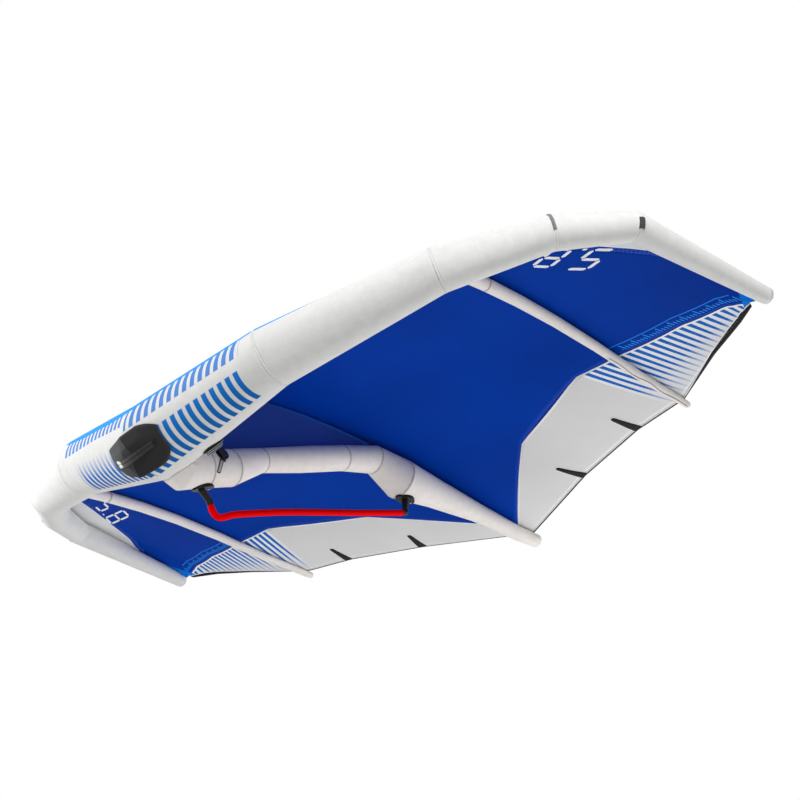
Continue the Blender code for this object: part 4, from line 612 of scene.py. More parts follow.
def arc_lengths(points, axis):
    """Distance run along a grid of points in the direction of one of its axes."""
    step = np.linalg.norm(np.diff(points, axis=axis), axis=-1)
    zero = np.zeros_like(np.take(step, [0], axis=axis))
    return np.cumsum(np.concatenate([zero, step], axis=axis), axis=axis)


def sheet_area(points):
    """Area of a grid's quads, as two triangles each."""
    a, b, c, d = points[:-1, :-1], points[:-1, 1:], points[1:, 1:], points[1:, :-1]
    return float(0.5 * (np.linalg.norm(np.cross(b - a, c - a), axis=-1)
                        + np.linalg.norm(np.cross(c - a, d - a), axis=-1)).sum())


def declare_sheet(points):
    """Works out a cloth's cut and its area: its longest run each way, or where that is less the rectangle
    round its plan, grown by the square root of its area over the plan's. It neither gives nor keeps them."""
    area = sheet_area(points)
    runs = np.array([arc_lengths(points, 1)[:, -1].max(), arc_lengths(points, 0)[-1].max()])
    growth = math.sqrt(area / max(sheet_area(points * (1.0, 1.0, 0.0)), 1e-6))
    plan = np.ptp(points.reshape(-1, 3), axis=0)[:2] * growth
    width, length = min((runs, plan), key=lambda cut: cut.prod() if cut.prod() > area else np.inf)


# Tubes

LE_SIDES, CENTRE_STRUT_SIDES, SIDE_STRUT_SIDES = 144, 96, 56
STRUT_GAP = 0.0006  # between a strut's front end and the leading edge
# Skin between two seams: spacing of its rows, swell, and depth and number of its gathers
LE_SKIN, STRUT_SKIN = (0.011, 0.004, 0.12, 26), (0.008, 0.006, 0.16, 18)
# Sewn tape: width, height over the tube and wall, and its rows as shares of the width
SEAM_WIDTH, SEAM_HEIGHT, SEAM_WALL = 0.010, 0.0007, 0.0003
SEAM_ROWS = np.array([0.0, 0.05, 0.5, 0.95, 1.0])
# Webbing tabs over the leading edge's outer bends: angles round the tube, width and finish
LE_TABS = {"outer": ((118.0, 202.0), 0.012, TAB_WEBBING), "tip": ((176.0, 219.0), 0.024, DARK_TAB_WEBBING)}
TAB_HEIGHT, TAB_WALL = 0.0028, 0.0012
# Light blue band over the leading edge's top: x, and the angle that the band reaches down to
TOP_BAND = np.array([
    (-0.60, 140.0), (-0.54, 141.0), (-0.50, 146.0), (-0.35, 152.0), (-0.10, 152.0), (0.0, 148.0),
    (0.14, 145.0), (0.32, 146.0), (0.50, 143.0), (0.60, 140.0), (0.72, 134.0), (0.80, 120.0), (2.0, 60.0),
])
TOP_BAND_REAR = 55.0
LE_PATH = np.vstack([LE_BENDS[:0:-1, :3] * (-1.0, 1.0, 1.0), LE_BENDS[:, :3]]) + DATUM
LE_RADII = np.concatenate([LE_BENDS[:0:-1, 3], LE_BENDS[:, 3]])


def mitred_rings(path, radii, sides):
    """Ring of points at each point of a path. It lies in the plane halfway between the two lengths that meet
    there, far enough out that both keep their radius: centre + ray * radius / sqrt(1 - (ray . length)^2)."""
    step = unit(np.diff(path, axis=0))
    before = np.vstack([step[:1], step])
    normal = unit(before + np.vstack([step, step[-1:]]))
    first = unit(UP - (normal @ UP)[:, None] * normal)
    second = np.cross(normal, first)
    angle = 2.0 * np.pi * np.arange(sides) / sides
    ray = np.cos(angle)[:, None] * first[:, None] + np.sin(angle)[:, None] * second[:, None]
    lean = (ray * before[:, None]).sum(-1)
    return path[:, None] + ray * (radii[:, None] / np.sqrt(1.0 - lean ** 2))[..., None]


def inflated_skin(start, end, spacing, puff, gather, waves):
    """Skin between two seam rings: straight lines from one to the other, swollen by puff away from the
    seams, with small creases at the seams where the inner side of a bend is shorter than the outer side:
    radius * (1 + puff * (1 - e^(-d / 50 mm)) + gather * shortness * e^(-d / 45 mm) * crease), with
    crease = cos(waves * a) + 0.4 cos(1.7 waves * a), d from the nearer seam and angle a round the tube."""
    sides = start.shape[0]
    run = np.linalg.norm(end - start, axis=-1)
    rows = max(int(run.mean() / spacing), 6)
    t = np.linspace(0.0, 1.0, rows + 1)[:, None]
    skin = start + (end - start) * t[..., None]
    middle = skin.mean(1, keepdims=True)
    near = np.minimum(t, 1.0 - t) * run
    shortness = np.clip((run.mean() - run) / run.mean(), 0.0, 1.0)
    angle = 2.0 * np.pi * np.arange(sides) / sides
    crease = np.cos(waves * angle) + 0.4 * np.cos(waves * 1.7 * angle)
    swell = 1.0 + puff * (1.0 - np.exp(-near / 0.05))
    scale = swell + gather * shortness * np.exp(-near / 0.045) * crease
    skin = middle + (skin - middle) * scale[..., None]
    radius = np.linalg.norm(skin - middle, axis=-1).mean()
    along = np.concatenate([t * run.mean()] * (sides + 1), axis=1)
    around = np.tile(np.arange(sides + 1) / sides * 2.0 * np.pi * radius, (rows + 1, 1))
    return skin, np.stack([along, around], -1)


def joined_skins(rings, first, last, kind):
    """Skin from one ring to a later one over all rings between, and its map, which runs on over them."""
    skins, maps, run = [], [], 0.0
    for k in range(first, last):
        skin, measure = inflated_skin(rings[k], rings[k + 1], *kind)
        measure[..., 0] += run
        run = measure[-1, 0, 0]
        skins.append(skin if k == first else skin[1:])
        maps.append(measure if k == first else measure[1:])
    return np.vstack(skins), np.vstack(maps)


def sew_band(name, tube, k, mat, width=SEAM_WIDTH, height=SEAM_HEIGHT, wall=SEAM_WALL, angles=None):
    """Narrow tape over bend k of a tube (path, rings, radii), all round it or between two angles. It stands
    a little out of the tube, as the mitred ring scaled by 1 + height / radius, and runs half its width along
    each of the lengths that meet there."""
    path, rings, radii = tube
    sides = rings.shape[1]
    part = slice(sides + 1)
    if angles:
        part = slice(int(angles[0] * sides / 360.0), int(angles[1] * sides / 360.0) + 1)
    core, spokes = path[k], rings[k][part] - path[k]
    before = unit(path[k - 1] - core) * width / 2.0
    after = unit(path[k + 1] - core) * width / 2.0
    high = core + spokes * (1.0 + height / radii[k])
    low = core + spokes * (1.0 - 0.0004 / radii[k])
    band = np.stack([low + before, high + before * 0.9, high, high + after * 0.9, low + after])
    arc = np.tile(np.arange(sides + 1) / sides * 2.0 * np.pi * radii[k], (len(SEAM_ROWS), 1))
    run = np.repeat(SEAM_ROWS * SEAM_WIDTH, sides + 1).reshape(len(SEAM_ROWS), -1)
    mesh = grid_mesh(name, band, closed=not angles, measure=np.stack([arc, run], -1)[:, part])
    thicken(place_piece(name, mesh, mat), wall, -1.0)


def outside_leading_edge(points):
    """Distance of points to the leading edge's skin: to its axis, less the tube's radius there."""
    best = np.full(points.shape[:-1], np.inf)
    for k in range(len(LE_PATH) - 1):
        run = LE_PATH[k + 1] - LE_PATH[k]
        t = np.clip((points - LE_PATH[k]) @ run / (run @ run), 0.0, 1.0)
        away = np.linalg.norm(points - (LE_PATH[k] + t[..., None] * run), axis=-1)
        best = np.minimum(best, away - (LE_RADII[k] + (LE_RADII[k + 1] - LE_RADII[k]) * t))
    return best


def trimmed_ring(start, end):
    """Where the straight lines from one ring to the next come out of the leading edge, by halving."""
    low, high = np.zeros(len(start)), np.ones(len(start))
    for step in range(24):
        t = (low + high) / 2.0
        inside = outside_leading_edge(start + (end - start) * t[:, None]) < STRUT_GAP
        low, high = np.where(inside, t, low), np.where(inside, high, t)
    return start + (end - start) * high[:, None]


def tube_marks(skin):
    """Angle round the tube at each point, and how far the point lies above the light blue band's lower edge.
    There is no band on the tube's rear, under the canopy."""
    sides = skin.shape[1]
    angle = np.tile(np.arange(sides) * 360.0 / sides, (len(skin), 1))
    edge = np.interp(skin[..., 0], TOP_BAND[:, 0], TOP_BAND[:, 1])
    above = np.radians(edge - angle) * LE_RADIUS
    return {"angle": angle, "top_band": np.where(angle > TOP_BAND_REAR, above, -0.1)}


def build_leading_edge():
    """Nine lengths of tube, a sewn tape over each bend between, and webbing tabs over the outer ones."""
    rings = np.roll(mitred_rings(LE_PATH, LE_RADII, LE_SIDES), LE_SIDES // 4, axis=1)
    middle = len(LE_PATH) // 2
    lengths = {"le_center": (middle - 1, middle + 1)}
    for k, name in enumerate(("le_inner", "le_mid", "le_outer", "le_tip")):
        lengths[name + "_R"] = (middle + 1 + k, middle + 2 + k)
        lengths[name + "_L"] = (middle - 2 - k, middle - 1 - k)
    for name, (first, last) in lengths.items():
        skin, measure = joined_skins(rings, first, last, LE_SKIN)
        mesh = grid_mesh(name + "_skin", skin, closed=True, measure=measure, marks=tube_marks(skin))
        mat = LE_PRINTED if name in ("le_center", "le_inner_R", "le_inner_L") else LE_CLOTH
        obj = place_piece(name + "_skin", mesh, mat, (name,))
        thicken(obj, TUBE_WALL, -1.0)
    tube = (LE_PATH, rings, LE_RADII)
    for k in range(1, len(LE_PATH) - 1):
        if k == middle:
            continue
        side = "R" if k > middle else "L"
        bend = ("inner", "mid", "outer", "tip")[abs(k - middle) - 1]
        mat = LE_CLOTH if bend in LE_TABS else LE_SEAM
        sew_band(f"le_seam_{bend}_{side}", tube, k, mat)
        if bend in LE_TABS:
            angles, width, mat = LE_TABS[bend]
            sew_band(f"le_tab_{bend}_{side}", tube, k, mat, width, TAB_HEIGHT, TAB_WALL, angles)
    build_tip_caps(rings)


def build_tip_caps(rings):
    """Domed cap on each end ring: ring * cos(t)^0.6 + outwards * 16 mm * sin(t)."""
    turn = np.linspace(0.0, 0.97, 12)
    narrow = np.cos(turn * np.pi / 2.0)[:, None, None] ** 0.6
    rise = 0.016 * np.sin(turn * np.pi / 2.0)[:, None, None] + 0.0004
    for side, end, near in (("R", -1, -2), ("L", 0, 1)):
        core = LE_PATH[end]
        dome = core + (rings[end] - core) * narrow + unit(core - LE_PATH[near]) * rise
        around = np.arange(LE_SIDES + 1) / LE_SIDES * 2.0 * np.pi
        arc = np.tile(around * LE_RADII[end], (len(turn), 1))
        run = np.repeat(turn * LE_RADII[end], LE_SIDES + 1).reshape(len(turn), -1)
        if side == "L":
            dome, run = dome[::-1], run[::-1]
        name, measure = f"le_cap_{side}", np.stack([run, arc], -1)
        mesh = grid_mesh(name + "_dome", dome, closed=True, caps=BOTH_ENDS, measure=measure)
        place_piece(name + "_dome", mesh, LE_CLOTH, (name,))


# Canopy

PANEL_SPLIT = 0.651  # share of the half span at which the inner panels meet the outer ones


def leading_edge_at(share):
    """Axis point and radius of the +X half at shares of the half span, in datum coordinates."""
    columns = [np.interp(share, LE_SHARES, LE_BENDS[:, k]) for k in range(4)]
    return np.stack([share * HALF_SPAN, columns[1], columns[2]], -1), columns[3]


def tube_reach(share, ray):
    """Distance from the axis at a share of the half span to the tube's surface along a ray:
    radius / (sqrt(1 - (ray . axis)^2) - taper * ray . axis), with each length's own axis and taper."""
    reach = np.zeros(np.broadcast_shapes(share.shape, ray.shape[:-1]))
    radius = leading_edge_at(share)[1] + LANDING_CLEARANCE
    for k in range(len(LE_BENDS) - 1):
        run = LE_BENDS[k + 1, :3] - LE_BENDS[k, :3]
        length = np.linalg.norm(run)
        taper = (LE_BENDS[k + 1, 3] - LE_BENDS[k, 3]) / length
        lean = ray @ (run / length)
        there = (LE_SHARES[k] - 0.012 <= share) & (share <= LE_SHARES[k + 1] + 0.012)
        along = radius / (np.sqrt(1.0 - lean ** 2) - taper * lean)
        reach = np.where(there, np.maximum(reach, along), reach)
    return reach


def stations(share):
    """Crown of the leading edge, trailing edge point and camber at shares of the half span."""
    point = leading_edge_at(share)[0]
    crown = point + UP * tube_reach(share, np.broadcast_to(UP, share.shape + (3,)))[..., None]
    tail = np.stack([np.interp(share, TAIL[:, 0], TAIL[:, k]) for k in (1, 2, 3)], -1)
    return crown, tail, [np.interp(share, CAMBER[:, 0], CAMBER[:, k]) for k in (1, 2, 3)]


def canopy_points(share, v):
    """Underside of the canopy: crown + (tail - crown) v + up * height * chord * v^nose * (1 - v)^back."""
    crown, tail, (height, nose, back) = stations(share)
    inside = np.clip(v, 0.0, 1.0)
    rise = height * np.linalg.norm(tail - crown, axis=-1) * inside ** nose * (1.0 - inside) ** back
    return crown + (tail - crown) * v[..., None] + UP * rise[..., None]


def clear_of_tube(share, spot):
    """Moves points of the cloth out of the leading edge's tube, along the line from its axis."""
    point = leading_edge_at(share)[0]
    away = spot - point
    distance = np.linalg.norm(away, axis=-1)
    ray = away / distance[..., None]
    reach = tube_reach(share, ray) * 1.003
    return np.where((distance < reach)[..., None], point + ray * reach[..., None], spot)


def cloth_panel(shares, front, rear, row_shares, first_row):
    """Grid of a panel between two seams. A front of zero lands where the taut cloth touches the tube:
    the angle round the tube from which the line to the next row climbs most."""
    crown, tail = stations(shares)[:2]
    chord = np.linalg.norm(tail - crown, axis=-1)
    half_gap = SEAM_GAP / 2.0 / chord
    start = np.where(front > 0.0, front + half_gap, 0.0)
    end = np.where(rear < 1.0, rear - half_gap, rear)
    grid_share = np.repeat(shares[:, None], len(row_shares), 1)
    v = start[:, None] + (end - start)[:, None] * row_shares
    points = clear_of_tube(grid_share, canopy_points(grid_share, v))
    landing = front <= 0.0
    if landing.any():
        lands = shares[landing]
        toward = clear_of_tube(lands, canopy_points(lands, rear[landing] * first_row))
        back = unit((tail - crown)[landing] * (1.0, 1.0, 0.0))
        angle = np.radians(np.linspace(30.0, 160.0, 400))
        rays = back[:, None] * np.cos(angle)[:, None] + UP * np.sin(angle)[:, None]
        spots = leading_edge_at(lands)[0][:, None] + rays * tube_reach(lands[:, None], rays)[..., None]
        ahead = toward[:, None] - spots
        climb = np.arctan2(-ahead[..., 2], (ahead * back[:, None]).sum(-1))
        spot = spots[np.arange(len(lands)), climb.argmax(1)]
        early = row_shares < first_row
        block = points[landing]
        block[:, early] = spot[:, None] + (toward - spot)[:, None] * (row_shares[early] / first_row)[:, None]
        points[landing] = block
    return points, v, chord


def on_tube(share):
    """Front edge of a panel that lands on the leading edge."""
    return np.zeros_like(share)


def tip_seam(share):
    """Share of the chord at which the tip panel meets the outer panel."""
    return np.interp(share, TIP_SEAM[:, 0], TIP_SEAM[:, 1])


def rear_seam(share):
    """Share of the chord at which the blue panels meet the rear panels."""
    return np.interp(share, REAR_SEAM[:, 0], REAR_SEAM[:, 1])


def tape_front(share):
    """Front edge of the webbing along the trailing edge."""
    crown, tail = stations(share)[:2]
    return 1.0 - np.minimum(TAPE_WIDTH / np.linalg.norm(tail - crown, axis=-1), 0.4)


def rear_edge(share):
    """The trailing edge."""
    return np.ones_like(share)


def eased(points, rounds):
    """Evens out a grid: each inner point moves towards the mean of its four neighbours."""
    points = points.copy()
    for step in range(rounds):
        mean = (points[2:, 1:-1] + points[:-2, 1:-1] + points[1:-1, 2:] + points[1:-1, :-2]) / 4.0
        points[1:-1, 1:-1] += (mean - points[1:-1, 1:-1]) * 0.5
    return points


def shares_between(first, last, count, *kept):
    """Even shares of the half span, and those at which a seam or an edge bends."""
    return np.array(sorted(set(np.linspace(first, last, count).tolist()) | set(kept)))


def build_canopy():
    """Blue, grey and striped panels, tip panels and edge webbing of both halves."""
    inner = shares_between(0.0, PANEL_SPLIT, 60, 0.269, 0.283, 0.317, 0.497, 0.534)
    outer = shares_between(PANEL_SPLIT, 0.998, 44, 0.663, 0.6976, 0.7475, 0.8485, 0.897, 0.950, 0.9665,
                           0.983, 0.988)
    short = outer[outer <= 0.988]
    tip = shares_between(0.718, 0.981, 40, 0.7475, 0.8485, 0.897, 0.950, 0.9665)
    front_rows = np.concatenate([np.linspace(0.0, 0.06, 4)[:-1], np.linspace(0.06, 1.0, 56)])
    rear_rows, tip_rows, tape_rows = [np.linspace(0.0, 1.0, count) for count in (22, 14, 4)]
    panels = (
        ("canopy_front", inner, on_tube, rear_seam, front_rows, BLUE_CLOTH, "blue_cloth"),
        ("canopy_rear", inner, rear_seam, tape_front, rear_rows, REAR_CLOTH, "grey_cloth"),
        ("canopy_outer", outer, tip_seam, rear_seam, front_rows, OUTER_CLOTH, "blue_cloth"),
        ("canopy_striped", short, rear_seam, tape_front, rear_rows, STRIPED_CLOTH, "grey_cloth"),
        ("tip_panel", tip, on_tube, tip_seam, tip_rows, TIP_CLOTH, "grey_cloth"),
        ("edge_tape_inner", inner, tape_front, rear_edge, tape_rows, NARROW_WEBBING, "edge_tape"),
        ("edge_tape_outer", short, tape_front, rear_edge, tape_rows, EDGE_WEBBING, "edge_tape"),
    )
    for name, shares, front, rear, rows, mat, slot in panels:
        first_row = 0.5 if name == "tip_panel" else 0.06
        points, v, chord = cloth_panel(shares, front(shares), rear(shares), rows, first_row)
        points = eased(points, 6)
        if shares[0] in (0.0, PANEL_SPLIT):
            points[0, :, 0] += SEAM_GAP / 2.0
        if shares[-1] == PANEL_SPLIT:
            points[-1, :, 0] -= SEAM_GAP / 2.0
        metres, seam = chord[:, None], rear_seam(shares)[:, None]
        marks = {"from_seam": (v - seam) * metres, "to_tail": (v - seam) / (1.0 - seam),
                 "from_tail": (1.0 - v) * metres, "from_tip_seam": (v - tip_seam(shares)[:, None]) * metres}
        points = points.transpose(1, 0, 2) + DATUM
        measure = np.stack([arc_lengths(points, 1), arc_lengths(points, 0)], -1)
        for side, mirror, way in (("R", 1.0, slice(None)), ("L", -1.0, slice(None, None, -1))):
            shape = points[:, way] * (mirror, 1.0, 1.0)
            values = {key: value.T[:, way] for key, value in marks.items()}
            mesh = grid_mesh(f"{name}_{side}_cloth", shape, measure=measure[:, way], marks=values)
            obj = place_piece(f"{name}_{side}_cloth", mesh, mat, (f"{name}_{side}",))
            thicken(obj, SHEET, 1.0)
            declare_sheet(shape)


def underside(x, y):
    """Height of the canopy's underside over points of the plan, by correcting the share and chord place."""
    x, y = np.abs(x), y - DATUM[1]
    share, v = x / HALF_SPAN, np.full_like(x, 0.5)
    for step in range(40):
        crown, tail = stations(share)[:2]
        v = (y - crown[..., 1]) / (tail[..., 1] - crown[..., 1])
        off = x - (crown[..., 0] + (tail[..., 0] - crown[..., 0]) * v)
        share = np.clip(share + off / HALF_SPAN, 0.0, 0.999)
    return canopy_points(share, v)[..., 2] + DATUM[2]


def hung_shell(plan, lift, depth):
    """Closed strip over a grid of points in plan, from lift under the canopy to depth further down."""
    z = underside(plan[..., 0], plan[..., 1]) - lift
    return np.concatenate([np.dstack([plan, z]), np.dstack([plan, z - depth])[:, ::-1]], axis=1)


# Layers of a batten's pocket: half width more than the pocket's, start and end as shares of the batten's
# length, distance under the canopy, bulge and finish
POCKET_LAYERS = {
    "pocket": (0.0, 0.0, 1.0, 0.0014, 0.0022, BATTEN_CLOTH),
    "cover": (0.0042, -0.03, 1.13, 0.0010, 0.0002, BATTEN_CLOTH),
    "edge": (0.0080, -0.06, 1.12, 0.0006, 0.0001, POCKET_EDGE),
}


def build_battens():
    """Tapered batten pockets under the rear panels: half width 6 mm + 12 mm * t, rounded at the front, on a
    wider black cover that is sewn in under the webbing, and a thin light edge round each."""
    t, across = np.linspace(0.0, 1.0, 40), np.linspace(-1.0, 1.0, 13)
    round_front = np.sqrt(np.clip(1.0 - (1.0 - np.clip(t / 0.06, 0.0, 1.0)) ** 2, 0.02, 1.0))
    bulge = np.sqrt(np.clip(1.0 - across ** 2, 0.0, 1.0))
    ring = 2 * len(across) + 1
    measure = np.stack([np.tile(t[:, None], (1, ring)) * 0.125,
                        np.tile(np.arange(ring) * 0.002, (len(t), 1))], -1)
    for batten, ends in BATTENS.items():
        start, end = np.array(ends) + DATUM[:2]
        line = unit(end - start)
        side_on = np.array([line[1], -line[0]])
        for part, (grow, first, last, lift, depth, mat) in POCKET_LAYERS.items():
            half = (0.006 + 0.012 * t) * round_front + grow
            plan = start + (end - start) * (first + (last - first) * t)[:, None]
            plan = plan[:, None] + side_on * (half[:, None] * across)[..., None]
            shell = hung_shell(plan, lift, depth * bulge + 0.0002)
            for side in ("R", "L"):
                shape = shell if side == "R" else (shell * (-1.0, 1.0, 1.0))[::-1]
                name = f"{batten}_{side}_{part}"
                stands_for = (f"{batten}_{side}",) if part == "pocket" else ()
                mesh = grid_mesh(name, shape, closed=True, caps=BOTH_ENDS, measure=measure)
                place_piece(name, mesh, mat, stands_for, crease=50)


# Size number: the bars of a figure as ends in shares of its cell's width and height, and for each side the
# figures, as the cell's corner, width and height in plan and the bars in use, and the dot's place
FIGURE_BARS = {
    "top": ((0.0, 1.0), (1.0, 1.0)), "middle": ((0.0, 0.5), (1.0, 0.5)), "bottom": ((0.0, 0.0), (1.0, 0.0)),
    "upper_left": ((0.0, 0.5), (0.0, 1.0)), "upper_right": ((1.0, 0.5), (1.0, 1.0)),
    "lower_left": ((0.0, 0.0), (0.0, 0.5)), "lower_right": ((1.0, 0.0), (1.0, 0.5)),
}
FIVE = ("top", "upper_left", "middle", "lower_right", "bottom")
EIGHT = tuple(FIGURE_BARS)
NUMBERS = {
    "L": ((((-1.3195, -0.2781), (-0.0375, 0.0545), (0.148, -0.020)), FIVE),
          (((-1.42, -0.1514), (-0.041, 0.063), (0.163, -0.025)), EIGHT), (-1.3854, -0.1874)),
    "R": ((((1.4554, -0.0888), (-0.0406, -0.0611), (-0.120, -0.0055)), FIVE),
          (((1.3699, -0.2168), (-0.0325, -0.057), (-0.1033, 0.0012)), EIGHT), (1.3969, -0.1779)),
}
FIGURE_STROKE, FIGURE_GAP = 0.0125, 0.0042


def build_numbers():
    """White printed size number under the outer panels: seven-bar figures whose bars are pointed and stand
    apart, with a square dot."""
    t = np.linspace(0.0, 1.0, 15)
    for side, (*figures, dot) in NUMBERS.items():
        bars = []
        for cell, used in figures:
            corner, width, height = np.array(cell)
            for key in used:
                first, last = [corner + width * a + height * b for a, b in FIGURE_BARS[key]]
                level = FIGURE_BARS[key][0][1] == FIGURE_BARS[key][1][1]
                bars.append((first, last, unit(height if level else width)))
        width, height = np.array(figures[0][0][1:])
        offset = unit(height) * FIGURE_STROKE * 0.6
        bars.append((dot - offset, dot + offset, unit(width)))
        for number, (first, last, across) in enumerate(bars):
            length = np.linalg.norm(last - first)
            skew = abs(across[0] * (last - first)[1] - across[1] * (last - first)[0]) / length
            gap = min(FIGURE_GAP, length * 0.12)
            run = gap + (length - 2.0 * gap) * t
            blunt = 1.0 if length > 0.02 else 6.0
            half = np.minimum(run - gap, length - gap - run) * blunt
            half = np.clip(half, 0.0002, FIGURE_STROKE / 2.0) / max(skew, 0.3)
            plan = first + (last - first) * (run / length)[:, None]
            plan = plan[:, None] + across * (half[:, None] * np.array([-1.0, 0.0, 1.0]))[..., None]
            name = f"number_{side}_bar_{number}"
            mesh = grid_mesh(name, outward(hung_shell(plan, 0.0005, 0.0004)), closed=True, caps=BOTH_ENDS)
            place_piece(name, mesh, WHITE_INK, crease=40)


# Struts

# Rounded end of a tail: share of the end ring, distance past it, and run of the map
TAIL_END = ((0.985, 0.0016, 0.002), (0.93, 0.0028, 0.005), (0.6, 0.0032, 0.015), (0.2, 0.0034, 0.025))


def build_strut(suffix, path, radii, sides, pieces):
    """Lengths of a strut between its seams, trimmed to the leading edge, rounded in at the tail over the
    last few millimetres and closed there by a flat disc, with a narrow sewn band over each seam."""
    rings = mitred_rings(path, radii, sides)
    rings[0] = trimmed_ring(rings[0], rings[1])
    for name, (first, last) in pieces.items():
        skin, measure = joined_skins(rings, first, last, STRUT_SKIN)
        caps = ()
        if last == len(rings) - 1:
            out, centre = unit(path[-1] - path[-2]), path[-1]
            end = [centre + (rings[-1] - centre) * share + out * past for share, past, run in TAIL_END]
            skin = np.vstack([skin, end])
            measure = np.vstack([measure, [measure[-1] + (run, 0.0) for share, past, run in TAIL_END]])
            caps = ("last",)
        mesh = grid_mesh(f"{name}{suffix}_skin", skin, closed=True, caps=caps, measure=measure)
        obj = place_piece(f"{name}{suffix}_skin", mesh, STRUT_CLOTH, (f"{name}{suffix}",))
        thicken(obj, TUBE_WALL, -1.0)
    for name, (first, last) in list(pieces.items())[1:]:
        sew_band(f"{name}{suffix}_seam", (path, rings, radii), first, STRUT_SEAM)


def build_struts():
    """The centre strut, and a side strut in each half."""
    path = np.column_stack([np.zeros(len(CENTRE_STRUT)), CENTRE_STRUT[:, :2]])
    build_strut("", path, CENTRE_STRUT[:, 2], CENTRE_STRUT_SIDES, CENTRE_STRUT_PIECES)
    for side, sign in (("R", 1.0), ("L", -1.0)):
        path = np.column_stack([np.full(len(SIDE_STRUT), sign * SIDE_STRUT_X), SIDE_STRUT[:, :2]])
        build_strut(f"_{side}", path, SIDE_STRUT[:, 2], SIDE_STRUT_SIDES, SIDE_STRUT_PIECES)


def build_web():
    """Upright cloth between the centre strut and the canopy: straight lines from the strut's top, or from
    the leading edge where that is higher, to the canopy."""
    y = np.linspace(-0.9235, 0.118, 90)
    core = LE_PATH[len(LE_PATH) // 2]
    inside = np.clip(LE_RADIUS ** 2 - (y - core[1]) ** 2, 0.0, None)
    arc = np.where(y < core[1] + LE_RADIUS, core[2] + np.sqrt(inside) + 0.001, -1.0)
    strut_top = np.interp(y, CENTRE_STRUT[:, 0], CENTRE_STRUT[:, 1] + CENTRE_STRUT[:, 2])
    low = np.maximum(strut_top + 0.0030, arc)
    high = np.maximum(underside(np.zeros_like(y), y) - 0.0010, low + SHEET)
    t = np.linspace(0.0, 1.0, 24)
    z = low + (high - low) * t[:, None]
    points = np.stack([np.zeros_like(z), np.tile(y, (len(t), 1)), z], -1)
    edge = np.clip(1.0 - (high - z - 0.004) / 0.006, 0.0, 1.0) * (t[:, None] > 0.5)
    mesh = grid_mesh("strut_web_cloth", points, measure=points[..., 1:], marks={"upper_edge": edge})
    obj = place_piece("strut_web_cloth", mesh, WEB_CLOTH, ("strut_web",))
    thicken(obj, SHEET, 0.0)
    declare_sheet(points)


# Boom

def build_grip():
    """Red foam sleeve: a circle of the grip's radius carried along the boom's path, which lies in the plane
    of x = 0, with its ends rounded over and small ribs round its front bend."""
    corners = np.concatenate([[0.0], np.cumsum(np.linalg.norm(np.diff(BOOM, axis=0), axis=1))])
    run = np.linspace(0.0, corners[-1], 560)
    path = np.column_stack([np.interp(run, corners, BOOM[:, k]) for k in (0, 1)])
    for step in range(6):
        path[1:-1] += 0.5 * ((path[2:] + path[:-2]) / 2.0 - path[1:-1])
    along = unit(np.gradient(path, axis=0))
    out = np.column_stack([-along[:, 1], along[:, 0]])
    ends = np.clip(np.minimum(run, run[-1] - run) / 0.003, 0.0, 1.0)
    radius = GRIP_RADIUS * np.sqrt(1.0 - (1.0 - ends) ** 2 * 0.35)
    ribbed = np.exp(-((run - 0.055) / 0.035) ** 4)
    radius = radius * (1.0 - 0.035 * ribbed * (0.5 - 0.5 * np.cos(2.0 * np.pi * run / 0.0075)))
    sides = 40
    angle = 2.0 * np.pi * np.arange(sides) / sides
    flat = path[:, None] + out[:, None] * (radius[:, None] * np.cos(angle))[..., None]
    points = np.concatenate([(radius[:, None] * np.sin(angle))[..., None], flat], -1)
    around = np.arange(sides + 1) / sides * 2.0 * np.pi * GRIP_RADIUS
    measure = np.stack([np.tile(run[:, None], (1, sides + 1)), np.tile(around, (len(run), 1))], -1)
    mesh = grid_mesh("boom_grip_foam", points, closed=True, caps=BOTH_ENDS, measure=measure)
    place_piece("boom_grip_foam", mesh, RED_FOAM, ("boom_grip",), crease=60)


# Front handle

PAD_X = PAD_OUTLINE[:, 0] * np.where(PAD_OUTLINE[:, 0] < 0.0, PAD_LEFT, PAD_RIGHT)
STRAP_HALF_ANGLE = np.degrees(STRAP_WIDTH / 2.0 / (LE_RADIUS + PAD_THICKNESS))
# Strap ends: piece, its side, its two angles from the strap's middle in half widths, finish, slot and node
STRAP_END_PIECES = (
    ("handle_end_L", -1.0, (-1.15, -0.08), BRIGHT_BAR, "bolt_steel", ("handle_keeper_L",)),
    ("handle_end_L_lower", -1.0, (0.08, 1.15), BRIGHT_BAR, "bolt_steel", ()),
    ("handle_end_R", 1.0, (-1.15, 1.15), BLACK_NYLON, "webbing", ("handle_keeper_R",)),
)


def on_leading_edge(x, angle, height):
    """Point at a distance from the leading edge's middle length, in the plane of x."""
    start, end = LE_BENDS[0, :3], LE_BENDS[1, :3]
    along = unit(end - start)
    taper = (LE_BENDS[1, 3] - LE_BENDS[0, 3]) / np.linalg.norm(end - start)
    rear = unit(np.cross(UP, along))
    top = np.cross(along, rear)
    turn = np.radians(angle)[..., None]
    out = np.cos(turn) * rear + np.sin(turn) * top
    run = (np.abs(x) - out[..., 0] * (LE_RADIUS + height)) / (along[0] + out[..., 0] * taper)
    spot = start + along * run[..., None] + out * (LE_RADIUS + taper * run + height)[..., None]
    return spot * np.stack([np.where(x < 0.0, -1.0, 1.0), np.ones_like(x), np.ones_like(x)], -1) + DATUM


def pad_line(x, column):
    """Column of the pad's outline at x."""
    return np.interp(x, PAD_X, PAD_OUTLINE[:, column])


